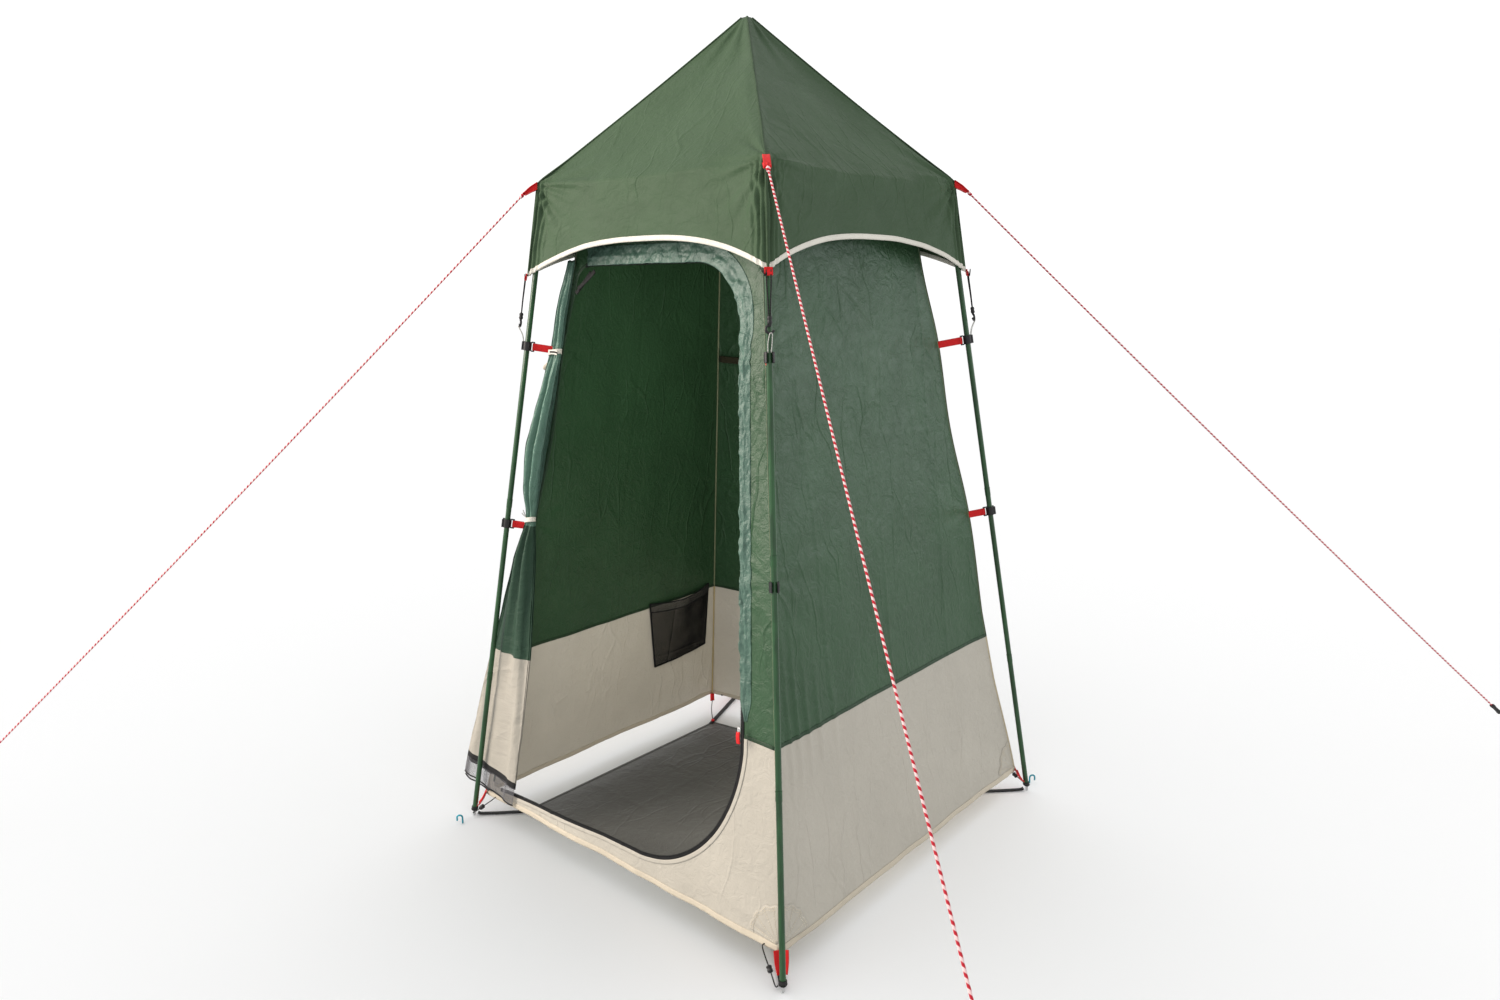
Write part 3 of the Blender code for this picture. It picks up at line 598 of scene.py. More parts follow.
BLACK_CORD = braid("black_cord", BLACK, (0.03, 0.03, 0.03), 0.006)
PALE_CORD = braid("pale_cord", (0.5, 0.5, 0.46), (0.7, 0.7, 0.66), 0.006)


# ---------------------------------------------------------------- walls
WALLS = {
    "front": ("front_left", "front_right", 1),
    "right": ("front_right", "back_right", 2),
    "back": ("back_right", "back_left", 3),
    "left": ("back_left", "front_left", 4),
}


def wall_half(z):
    return WALL_HALF - WALL_LEAN * np.asarray(z, float)


def wall_relief(label, share, z, x):
    """How far the cloth stands out of its plane; share runs 0 to 1 across it, x is metres from its middle."""
    seed = WALLS[label][2]
    edge = ease(share, 0, 0.06) * ease(1 - share, 0, 0.06)
    belly = -0.010 * np.sin(np.pi * share) * np.sin(np.pi * np.clip(z / 1.7, 0, 1))
    drape = 0.0035 * noise(x * 5, z * 1.1, seed) + 0.0016 * noise(x * 13, z * 3, seed + 7)
    crease = 0.0014 * ridges(x * 5 + z, z * 3.2, seed + 9) + 0.0007 * ridges(x * 16, z * 11, seed + 12)
    packed = 0
    for line in (-0.27, 0.02, 0.31):
        packed = packed + 0.0016 * np.exp(-np.abs(x - line - 0.02 * noise(z * 2, line, seed)) / 0.004)
    if label == "right":
        # the sharp upright creases next to the front corner
        for k, line in enumerate((-0.512, -0.486, -0.458, -0.424, -0.384, -0.336, -0.270)):
            middle = line + 0.05 * (z - BORDER_Z) + 0.004 * noise(z * 6, line * 9, seed)
            tall = ease(z, 0.24 + 0.03 * k, 0.50) * ease(1.06 - 0.06 * k - z, 0, 0.34)
            packed = packed + 0.0045 * tall * np.exp(-(((x - middle) / 0.0075) ** 2))
    for line in (0.31, 0.74, 1.17):
        packed = packed + 0.0012 * np.exp(-np.abs(z - line - 0.015 * noise(x * 2, line, seed)) / 0.004)
    pulls = 0
    for side in (-1, 1):
        for height in (*CLIP_HEIGHTS.values(), HEM_Z + 0.02, WALL_TOP_Z):
            anchor = (side * float(wall_half(height)), height)
            pulls = pulls + fan(x, z, anchor, 0.13, 9, 0.0045, seed + height, 0.0 if side < 0 else np.pi)
    bottom = 0.0045 * np.exp(-(z - HEM_Z) / 0.10) * noise(x * 9, z * 2, seed + 21)
    slope = 0.004 * np.exp(-np.abs(z - BORDER_Z) / 0.05) * noise(x * 8, z * 3, seed + 5)
    crease = crease * noise(x * 2, z * 2, seed + 2)
    return edge * (belly + drape + crease + packed + pulls + bottom + slope * 0.5)


def wall_points(label, x, z):
    """Points and normals of a wall's cloth: x is metres from its middle on a square wall, z the height."""
    x, z = np.broadcast_arrays(np.asarray(x, float), np.asarray(z, float))
    start, end, _ = WALLS[label]
    share = 0.5 + x / (2 * wall_half(z))
    a, b = wall_corner(start, z), wall_corner(end, z)
    flat = a + (b - a) * share[..., None]
    low_a, low_b = wall_corner(start, z - 0.05), wall_corner(end, z - 0.05)
    down = blend(low_a - a, low_b - b, share)
    normal = unit(np.cross(down, unit(b - a)))
    return flat + normal * wall_relief(label, share, z, x)[..., None], normal


def on_wall(label, path, proud=0.0):
    """Points and normals on a wall along a path of (x, z), proud of the cloth."""
    path = np.asarray(path, float)
    points, normal = wall_points(label, path[..., 0], path[..., 1])
    return points + normal * proud, normal


def two_tone(made):
    """Sand coloured cloth below the border, green above it."""
    mesh = made.data
    z = [vertex.co.z for vertex in mesh.vertices]
    for face in mesh.polygons:
        middle = sum(z[v] for v in face.vertices) / len(face.vertices)
        face.material_index = 1 if middle < BORDER_Z else 0


def levels(low, high, step, *marks):
    """Even levels that include the marks exactly."""
    stops = [low, *sorted(marks), high]
    found = []
    for a, b in zip(stops, stops[1:]):
        found += list(np.linspace(a, b, max(2, round((b - a) / step) + 1))[:-1])
    return np.array([*found, high])


def plain_wall(label):
    z = levels(HEM_Z, WALL_TOP_Z, 0.008, BORDER_Z)[:, None]
    share = np.linspace(-1, 1, 180 if label == "right" else 130)
    x = share[None, :] * wall_half(z)
    points, _ = wall_points(label, x, z)
    name = f"{label}_wall_cloth"
    mesh = grid_mesh(name, [(points, paired(x, z))])
    # the sand band's inner face takes the painted-light copy of the sand cloth
    made = finish_mesh(name, mesh, [GREEN, BEIGE, GREEN, SAND_INSIDE_LIT])
    two_tone(made)
    thicken(made, inside=2)
    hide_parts(f"{label}_wall")


DOOR_TOP_Z = 1.62
DOOR_LOW_RIGHT = (0.405, 0.48)
DOOR_HIGH_RIGHT = (0.297, 1.43)
DOOR_LOW_LEFT = (-0.54, 0.104)
DOOR_HIGH_LEFT = (-0.326, 1.57)
DOOR_BOTTOM = (0.08, 0.133)
DOOR_TOP_RIGHT_X = 0.13
DOOR_LEFT_CURVE = 0.05


def arc(centre, radii, start, stop, steps):
    angles = np.radians(np.linspace(start, stop, steps))
    return np.stack([centre[0] + radii[0] * np.cos(angles), centre[1] + radii[1] * np.sin(angles)], -1)


def door_path(grow=0.0, step=0.008):
    """The doorway's edge as (x, z), anticlockwise from its lower left corner, grown outwards a little."""
    low_x, low_z = DOOR_LOW_RIGHT
    high_x, high_z = DOOR_HIGH_RIGHT
    left_x, left_z = DOOR_HIGH_LEFT
    bottom_x, bottom_z = DOOR_BOTTOM
    corner = np.array([DOOR_LOW_LEFT])
    bottom = arc((bottom_x, low_z), (low_x - bottom_x, low_z - bottom_z), -90, 0, 40)
    top = arc((DOOR_TOP_RIGHT_X, high_z), (high_x - DOOR_TOP_RIGHT_X, DOOR_TOP_Z - high_z), 0, 90, 30)
    left = arc((left_x + DOOR_LEFT_CURVE, left_z), (DOOR_LEFT_CURVE, DOOR_TOP_Z - left_z), 90, 180, 12)
    path = np.concatenate([corner, bottom, top, left, corner])
    length = run_of(path)
    path = at_run(np.linspace(0, length[-1], round(length[-1] / step) + 1), length, path)
    return path + outer_side(path) * grow if grow else path


def front_wall():
    """The front wall as rings from the doorway's edge out to the wall's own edge."""
    centre = np.array([-0.03, 0.9])
    spokes = door_path(0, 0.009)[:-1] - centre
    angle = np.unwrap(np.arctan2(spokes[:, 1], spokes[:, 0]))
    reach = np.linalg.norm(spokes, axis=1)
    extra = []
    for x, z in [(s * float(wall_half(z)), z) for s in (-1, 1) for z in (HEM_Z, WALL_TOP_Z)]:
        a = math.atan2(z - centre[1], x - centre[0])
        while a < angle[0]:
            a += 2 * math.pi
        extra.append(a)
    every = np.sort(np.concatenate([angle, extra]))
    around = np.append(angle, angle[0] + 2 * math.pi)
    near = np.interp(every, around, np.append(reach, reach[0]))
    direction = np.stack([np.cos(every), np.sin(every)], -1)
    far = np.full(len(every), 9.0)
    for dz, z in ((-1, HEM_Z), (1, WALL_TOP_Z)):
        ok = direction[:, 1] * dz > 1e-9
        far[ok] = np.minimum(far[ok], (z - centre[1]) / direction[ok, 1])
    for s in (-1, 1):
        # the wall's side edge is where s * x = WALL_HALF - WALL_LEAN * z
        rate = s * direction[:, 0] + WALL_LEAN * direction[:, 1]
        gap = WALL_HALF - WALL_LEAN * centre[1] - s * centre[0]
        ok = rate > 1e-9
        far[ok] = np.minimum(far[ok], gap / rate[ok])
    share = np.linspace(0, 1, 44)[:, None]
    radius = near[None, :] + (far - near)[None, :] * share
    flat = centre + direction[None] * radius[..., None]
    flat = np.concatenate([flat, flat[:, :1]], 1)
    points, _ = wall_points("front", flat[..., 0], flat[..., 1])
    mesh = grid_mesh("front_wall_cloth", [(points, flat)])
    weld(mesh)
    cut_at_border(mesh)
    made = finish_mesh("front_wall_cloth", mesh, [GREEN, BEIGE])
    two_tone(made)
    thicken(made)
    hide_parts("front_wall")


def cut_at_border(mesh):
    bm = bmesh.new()
    bm.from_mesh(mesh)
    parts = [*bm.verts, *bm.edges, *bm.faces]
    bmesh.ops.bisect_plane(bm, geom=parts, dist=1e-6, plane_co=(0, 0, BORDER_Z), plane_no=(0, 0, 1))
    bm.to_mesh(mesh)
    bm.free()


def wall_strip(name, label, path, half, finish, proud=0.001, thickness=FABRIC):
    """A flat strip sewn on a wall along a path of (x, z)."""
    t = np.linspace(-1, 1, 5)
    flat = path[:, None] + outer_side(path)[:, None] * (t * half)[None, :, None]
    uv = paired((t * half)[None, :], run_of(path)[:, None])
    return sheet_piece(name, on_wall(label, flat, proud)[0], uv, finish, thickness)


def straight(a, b, step=0.01):
    a, b = np.asarray(a, float), np.asarray(b, float)
    count = max(2, round(np.linalg.norm(b - a) / step) + 1)
    return a + (b - a) * np.linspace(0, 1, count)[:, None]


def corner_fan(label, side):
    """The reinforcing patch at a wall's bottom corner, with its rays of stitches."""
    start = np.array([side * (float(wall_half(HEM_Z)) - 0.010), HEM_Z + 0.016])
    turn = np.radians(np.linspace(3, 84, 41))[::side]

    def spot(share, angle):
        reach = share * (0.084 + 0.005 * np.abs(np.sin(angle * 7.8)))
        return start + np.stack([-side * reach * np.cos(angle), reach * np.sin(angle)], -1)

    flat = spot(*np.meshgrid(np.linspace(0.05, 1, 14), turn, indexing="ij"))
    name = f"{label}_corner_patch_{'right' if side > 0 else 'left'}"
    sheet_piece(name, on_wall(label, flat, 0.0012)[0], flat, BEIGE, 0.0007)
    rows = [spot(np.linspace(0.1, 0.95, 20), np.full(20, np.radians(a))) for a in (12, 33, 54, 75)]
    rows += [spot(np.full(40, share), np.radians(np.linspace(5, 82, 40))) for share in (0.95, 0.88)]
    for k, row in enumerate(rows):
        thread = (SEAM_THREAD, "splash_fabric", 0.0055, 0.0036, 0.0006)
        stitches(f"{name}_thread_{k}", *on_wall(label, row, 0.0016), *thread)


def wall_seams():
    """Patches at the bottom corners, and hems and border seams on both faces of each wall."""
    for label in WALLS:
        for side in (-1, 1):
            if (label, side) != ("front", -1):
                corner_fan(label, side)
        z = HEM_Z + 0.008
        edge = float(wall_half(z)) - 0.004
        hem = straight((-edge, z), (edge, z))
        for side, proud in (("out", 0.0012), ("in", -0.0012)):
            wall_strip(f"{label}_hem_{side}", label, hem, 0.0075, BEIGE_EDGE, proud)
        edge = float(wall_half(BORDER_Z)) - 0.003
        start = 0.407 if label == "front" else -edge
        border = straight((start, BORDER_Z + 0.004), (edge, BORDER_Z + 0.004))
        for side, proud in (("out", 0.0011), ("in", -0.0011)):
            wall_strip(f"{label}_border_{side}", label, border, 0.0045, SEAM, proud)


# ---------------------------------------------------------------- canopy
def canopy_flat(index, across, down):
    """A canopy panel without creases; across 0 to 1, down 0 at the peak, 1 at the eave, 2 at the hem."""
    a = np.array(CORNERS[NAMES[index]], float)
    b = np.array(CORNERS[NAMES[(index + 1) % 4]], float)
    eave = EAVE_HALF + CANOPY_EDGE
    hem = float(leg_point("front_right", SKIRT_TIP_Z).x) + CANOPY_EDGE
    peak, sag = 0.010, 0.022
    middle = 4 * across * (1 - across)
    roof = np.clip(down, 0, 1)
    drop = np.clip(down - 1, 0, 1)
    half = peak + (eave - peak) * roof + (hem - eave) * drop
    eave_z = EAVE_Z + CANOPY_EDGE - 0.5 * sag * middle
    arch = SKIRT_RISE * (1 - np.abs(2 * across - 1) ** 2.5)
    z = APEX_Z + (eave_z - APEX_Z) * roof + (SKIRT_TIP_Z + arch - eave_z) * drop
    z = z - 0.5 * np.sin(np.pi * roof) * sag * (0.45 + 0.55 * middle)
    pull = 0.6 * sag * middle * roof + (0.024 - 0.6 * sag) * middle * drop
    flat = a[None] + (b - a)[None] * across.reshape(-1, 1)
    flat = flat.reshape(*across.shape, 2) * half[..., None]
    inward = -(a + b) / 2
    flat = flat + inward * pull[..., None]
    return np.concatenate([flat, z[..., None]], -1), -inward


def canopy_patch(index):
    """One panel's points, UVs and normals, with its creases; x and y are metres on the cloth."""
    ends = [np.linspace(0, 0.07, 36), np.linspace(0.07, 0.93, 86)[1:-1], np.linspace(0.93, 1, 36)]
    down = np.concatenate([np.linspace(0, 1, 72), np.linspace(1, 2, 40)[1:]])
    across, down = np.meshgrid(np.concatenate(ends), down)
    flat, out = canopy_flat(index, across, down)
    width = 2 * (EAVE_HALF + CANOPY_EDGE)
    x = (across - 0.5) * width * np.clip(down, 0.02, 1)
    y = np.where(down < 1, down * ROOF_RUN, ROOF_RUN + (down - 1) * SKIRT_RUN)
    seed = 31 + index
    hip = np.minimum(across, 1 - across) * width * np.clip(down, 0.02, 1)
    relief = 0.0035 * noise(x * 5, y * 4, seed) + 0.0015 * noise(x * 14, y * 9, seed + 3)
    relief = relief + 0.0018 * (ridges(x * 6, y * 5, seed + 5) - 0.4) * noise(x * 3, y * 3, seed + 8)
    folds = 0
    for side in (-1, 1):
        anchor = (side * width / 2, ROOF_RUN)
        relief = relief + fan(x, y, anchor, 0.10, 13, 0.006, seed + side)
        tuck = np.abs(x - side * width / 2)
        below = ease(y, 0.555, 0.60) * (1 - 0.35 * ease(y, 0.72, 0.79))
        bend = 2.2 * noise(y * 7, side * 2.0, seed)
        wave = np.cos(tuck * 2 * np.pi / 0.017 + bend + 1.2 * noise(y * 22, 0.4, seed + 2))
        folds = folds + 0.0052 * below * np.exp(-((tuck / 0.036) ** 2)) * wave * ease(tuck, 0, 0.005)
        spread = fan(x, y, anchor, 0.085, 19, 0.0065, seed + 6 + side)
        folds = folds + spread * ease(tuck, 0, 0.008)
    relief = relief + fan(x, y, (0, 0), 0.11, 13, 0.007, seed + 9)
    relief = relief + 0.003 * np.exp(-((y - ROOF_RUN) / 0.05) ** 2) * noise(x * 16, y * 5, seed + 11)
    relief = relief + 0.003 * ease(y, 0.70, 0.79) * noise(x * 12, 0.3, seed + 13)
    normal = normals(flat)
    if (normal[20, 50, :2] @ out) < 0:
        normal = -normal
    points = flat + normal * (relief * ease(hip, 0, 0.035) + folds)[..., None]
    return points, np.stack([x + index * 3, y], -1), normal


def canopy():
    patches, hems = [], []
    for index in range(4):
        points, uv, normal = canopy_patch(index)
        patches.append((points, uv))
        hems.append((points[-1], points[-4], normal[-1]))
    mesh = grid_mesh("canopy_cloth", patches)
    weld(mesh, 2e-4)
    made = finish_mesh("canopy_cloth", mesh, [ROOF])
    thicken(made, 0.0011)
    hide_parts("canopy")
    # the cap over the open tip of the four panels
    tip = np.array([[0, 0, APEX_Z + drop] for drop in (0.002, -0.006, -0.016)])
    tube_piece("canopy_peak", tip, [0.004, 0.012, 0.022], 16, ROOF)
    binding(hems)
    hip_seams(patches)


def binding(hems):
    """Cream tape folded over the hem, outside and inside."""
    edge, above, normal = (np.concatenate([h[k][:-1] for h in hems]) for k in range(3))
    up = unit(above - edge)
    normal = unit(normal + np.roll(normal, 1, 0) + np.roll(normal, -1, 0))
    profile = [
        (0.0014, 0.0112), (0.0021, 0.0097), (0.0014, 0.0083), (0.0022, 0.0055), (0.0022, 0.001),
        (0.0008, -0.0016), (-0.0012, -0.0014), (-0.0026, 0.002), (-0.0024, 0.009), (-0.0014, 0.0112),
    ]
    pucker = 1 + 0.25 * noise(np.arange(len(edge)) * 0.7, 0.5, 3)
    grid = np.stack([edge + normal * (d * pucker)[:, None] + up * h for d, h in profile], 1)
    grid = np.concatenate([grid, grid[:1]], 0)
    v = np.cumsum([0.002] * len(profile))
    mesh = grid_mesh("canopy_binding", [(grid, paired(v[None, :], run_of(grid[:, 0])[:, None]))])
    weld(mesh)
    thicken(finish_mesh("canopy_binding", mesh, [BINDING]), 0.0006)


def hip_seams(patches):
    """A felled seam along each hip of the roof, from the peak to the eave, and on down to the tip."""
    t = np.linspace(-1, 1, 7)
    crown = 0.0020 * (1 - t**2) - 0.0012 * np.abs(t) ** 3
    for (patch, _), corner in zip(patches, NAMES):
        points = patch[:, 0]
        way = unit(np.gradient(points, axis=0))
        side = unit(np.cross(way, np.array([*outward(corner)])))
        up = np.cross(side, way)
        grid = points[:, None] + side[:, None] * (t * 0.0034)[None, :, None]
        grid = grid + up[:, None] * crown[None, :, None]
        uv = paired((t * 0.006)[None, :], run_of(points)[:, None])
        sheet_piece(f"hip_seam_{corner}", grid, uv, ROOF_SEAM, 0.0010)


# ---------------------------------------------------------------- small hardware
def frame_at(origin, z_axis, x_hint=(1, 0, 0)):
    z = Vector(z_axis).normalized()
    y = z.cross(Vector(x_hint)).normalized()
    matrix = Matrix((y.cross(z), y, z)).transposed().to_4x4()
    matrix.translation = Vector(origin)
    return matrix


def moved(place, points):
    return np.array([place @ Vector(p) for p in points])


def rope(name, points, radius, finish, body="root", slot="black_fitting", count=60, sides=10):
    """A cord or a wire along a smooth curve through the points."""
    return tube_piece(name, smooth_path(points, count), radius, sides, finish, body)


def lathe(name, profile, place, finish, body="root"):
    """A turned part: profile is (radius, height), closed at both ends."""
    points = moved(place, [(0, 0, h) for _, h in profile])
    made = tube_piece(name, points, [r for r, _ in profile], 24, finish, body)
    made.data.set_sharp_from_angle(angle=math.radians(40))
    return made


def prism(name, outline, depth, place, finish, body="root", slot="black_fitting", round_by=0.0006):
    """A plate of the outline's shape in the local XY plane, centred in Z, with rounded edges."""
    bm = bmesh.new()
    low = [bm.verts.new((x, y, -depth / 2)) for x, y in outline]
    high = [bm.verts.new((x, y, depth / 2)) for x, y in outline]
    bm.faces.new(list(reversed(low)))
    bm.faces.new(high)
    for k in range(len(outline)):
        j = (k + 1) % len(outline)
        bm.faces.new((low[k], low[j], high[j], high[k]))
    bmesh.ops.recalc_face_normals(bm, faces=bm.faces)
    mesh = bpy.data.meshes.new(name)
    bm.to_mesh(mesh)
    bm.free()
    mesh.transform(place)
    made = finish_mesh(name, mesh, [finish], body)
    mesh.set_sharp_from_angle(angle=math.radians(35))
    return rounded(made, round_by)


def strap(name, path, wide, half, finish, body="root", slot="red_webbing", thickness=0.0016, count=40):
    """Webbing along a smooth path; wide is its width's direction, one vector or one for each path point."""
    middle = smooth_path(path, count)
    across = smooth_path(wide if np.ndim(wide) == 2 else [wide] * len(path), count)
    way = unit(np.gradient(middle, axis=0))
    across = unit(across - way * (across * way).sum(1, keepdims=True))
    mesh = ribbon_mesh(name, middle, across, half, 7, 0.0005, np.cross(way, across))
    return thicken(finish_mesh(name, mesh, [finish], body), thickness)


def stitches(name, path, normal, finish, slot="binding", pitch=0.004, length=0.0026, radius=0.00035):
    """A row of thread stitches that lie on a surface along the path."""
    path = np.asarray(path, float)
    run = run_of(path)
    normal = np.broadcast_to(np.asarray(normal, float), path.shape)
    vertices, faces = [], []
    for start in np.arange(0, run[-1] - length, pitch):
        ends = at_run(np.array([start, start + length]), run, path)
        n = unit(at_run(start, run, normal))
        side = np.cross((ends[1] - ends[0]) / length, n) * radius
        base = len(vertices)
        for centre, r in ((ends[0], 0.35), ((ends[0] + ends[1]) / 2, 1.0), (ends[1], 0.35)):
            lift = n * radius * 1.1 * r
            for s, u in ((1, 0), (0, 1), (-1, 0), (0, -1)):
                vertices.append(centre + side * s * r + n * radius * u * r + lift)
        for ring in (base, base + 4):
            for k in range(4):
                a, b = ring + k, ring + (k + 1) % 4
                faces.append((a, b, b + 4, a + 4))
        faces.append((base + 3, base + 2, base + 1, base))
        faces.append((base + 8, base + 9, base + 10, base + 11))
    mesh = bpy.data.meshes.new(name)
    mesh.from_pydata([tuple(v) for v in vertices], [], faces)
    return finish_mesh(name, mesh, [finish])


def netting(made, thickness):
    """Turn a sheet's grid into its threads."""
    wire = made.modifiers.new("wire", "WIREFRAME")
    wire.thickness = thickness
    wire.use_even_offset = False


# ---------------------------------------------------------------- the gathered door
# the gathered door from the top down: at these heights, at one height of each table's own, and at the foot
DOOR_HEIGHTS = (1.640, 1.512, 1.385, 1.30, 1.124, 1.0, 0.915, 0.80, 0.524, 0.30)
DOOR_FOOT_Z = 0.06
DOOR_LEFT = (
    0.167, (-0.346, -0.374, -0.392, -0.412, -0.462, -0.462, -0.446, -0.492, -0.576, -0.630, -0.664, -0.682),
)
DOOR_RIGHT = (
    0.131, (-0.322, -0.338, -0.356, -0.364, -0.388, -0.412, -0.424, -0.408, -0.400, -0.414, -0.430, -0.436),
)
DOOR_DEPTH = (0.131, (0.008, 0.018, 0.015, 0.024, 0.034, 0.028, 0.016, 0.030, 0.020, 0.015, 0.011, 0.010))
LAYERS = 7
TIES = {"upper": 1.385, "lower": 0.915}


def along_height(table, z):
    """A value from one of the door's tables, eased between its rows."""
    own_height, values = table[0], np.array(table[1])[::-1]
    heights = np.array([*DOOR_HEIGHTS, own_height, DOOR_FOOT_Z])[::-1]
    steps = ((-0.03, 0.1), (-0.015, 0.2), (0, 0.4), (0.015, 0.2), (0.03, 0.1))
    return sum(weight * np.interp(z + step, heights, values) for step, weight in steps)


def bunch_share(turns):
    """How far across the bunch a layer has come: 0 at its left side, 1 at its right."""
    return 0.5 - 0.5 * np.cos(np.pi * turns)


def door_hem(turns):
    """Height of the sand coloured cloth's lower edge, its left end higher and each layer a little off."""
    jitter = 0.010 * noise(np.floor(turns + 0.5) * 2.3, 0.4, 71) + 0.004 * noise(turns * 3, 0.2, 72)
    return 0.166 - 0.036 * bunch_share(turns) ** 0.8 + jitter * (turns > 0.8)


def door_surface(turns, z):
    """The folded door: turns counts its layers from the front, and each fold turns back on the last."""
    turns, z = np.broadcast_arrays(turns, z)
    across = bunch_share(turns)
    across = across + 0.10 * np.sin(2 * np.pi * across) * -0.35
    left, right, depth = (along_height(table, z) for table in (DOOR_LEFT, DOOR_RIGHT, DOOR_DEPTH))
    width = right - left
    layer = np.floor(turns + 0.5)
    shy = 0.10 * width * (0.5 + 0.5 * noise(layer * 1.7, z * 1.6, 61)) * (turns > 0.7)
    x = left + shy + (width - 1.6 * shy) * across
    free = np.ones_like(z)
    for height in TIES.values():
        free = free * (1 - 0.85 * np.exp(-((z - height) / 0.035) ** 2))
    free = free * ease(1.64 - z, 0, 0.12)
    back = 0.62 * depth * (1 - turns / LAYERS)
    lay = noise(across * 3.4 + 4, z * 1.3, 63) + 0.6 * noise(across * 8, z * 1.9, 64)
    swing = np.cos(2 * np.pi * (2.35 * across + 0.10 + 0.22 * noise(z * 1.8, 3.0, 62)))
    swing = np.sign(swing) * np.abs(swing) ** 0.75
    folds = depth * free * (0.34 * swing + 0.30 * np.abs(lay) ** 0.7 * np.sign(lay))
    pleats = 0
    for height in TIES.values():
        near = np.exp(-np.abs(z - height) / 0.09)
        pleats = pleats + 0.0032 * near * np.cos(across * 2 * np.pi * 3.5 + noise(z * 14, turns * 0.3, 65))
    fine = 0.0012 * free * noise(x * 38, z * 16, 66) + 0.0008 * noise(x * 90, z * 40, 67)
    proud = 0.0042 + back + (folds + pleats) * (0.35 + 0.65 * (1 - turns / LAYERS)) + fine
    proud = np.maximum(proud, 0.0022 + 0.0009 * (LAYERS - turns))
    return x, np.minimum(proud, 0.0195 + (z - 0.1) * 0.022)


def door_points(turns, z):
    x, proud = door_surface(turns, z)
    z = np.broadcast_to(z, x.shape)
    normal = np.array([0, -1, WALL_LEAN]) / math.hypot(1, WALL_LEAN)
    flat = np.stack([x, -WALL_HALF + WALL_LEAN * z, z], -1)
    return flat + normal * proud[..., None]


def door():
    """The door cloth, drawn to the doorway's left edge in folds and held there by two ties."""
    turns = np.linspace(0, LAYERS, LAYERS * 30 + 1)
    hem = door_hem(turns)
    top = 1.632 + 0.004 * noise(turns * 2, 0.3, 73)
    tape = 0.017
    green = np.linspace(0, 1, 170)[:, None] * (BORDER_Z - top)[None] + top[None]
    sand = np.linspace(0, 1, 52)[1:, None] * (hem + tape - BORDER_Z)[None] + BORDER_Z
    band = np.linspace(0, 1, 5)[1:, None] * -tape + (hem + tape)[None]
    rows = np.concatenate([green, sand, band])
    mesh = grid_mesh("door_cloth", [(door_points(turns[None, :], rows), paired(turns[None, :] * 0.12, rows))])
    made = finish_mesh("door_cloth", mesh, [DOOR_UPPER_LIT, SAND_DOOR_SHADED, TAPE, DOOR_LOW_SHADED])
    # rows above the lower tie take the lighter copy of the door cloth, painted light on the upper bunch
    tied = int(np.argmin(np.abs(green.mean(1) - 0.900)))
    # rows from the lower tie down to the border take the darker copy, painted shade on the lower bunch; the
    # sand rows take the shaded sand copy
    index = np.repeat([0] * tied + [3] * (169 - tied) + [1] * 51 + [2] * 4, len(turns) - 1)
    mesh.polygons.foreach_set("material_index", index.astype(np.int32))
    thicken(made, 0.0007)
    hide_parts("door_panel")
    # netting under the band, with a bound edge
    shown = np.linspace(0, 2, 2 * 62 + 1)
    edge = door_hem(shown)
    drop = np.linspace(0.002, -0.052, 24)[:, None] + edge[None]
    points = door_points(shown[None, :], drop)
    net_uv = paired(shown[None] * 0.12, drop)
    netting(sheet_piece("door_net", points, net_uv, GREY_MESH), 0.0007)
    tube_piece("door_net_edge", door_points(shown, edge - 0.052), 0.0022, 8, TAPE)
    for level, height in TIES.items():
        tie(level, height)


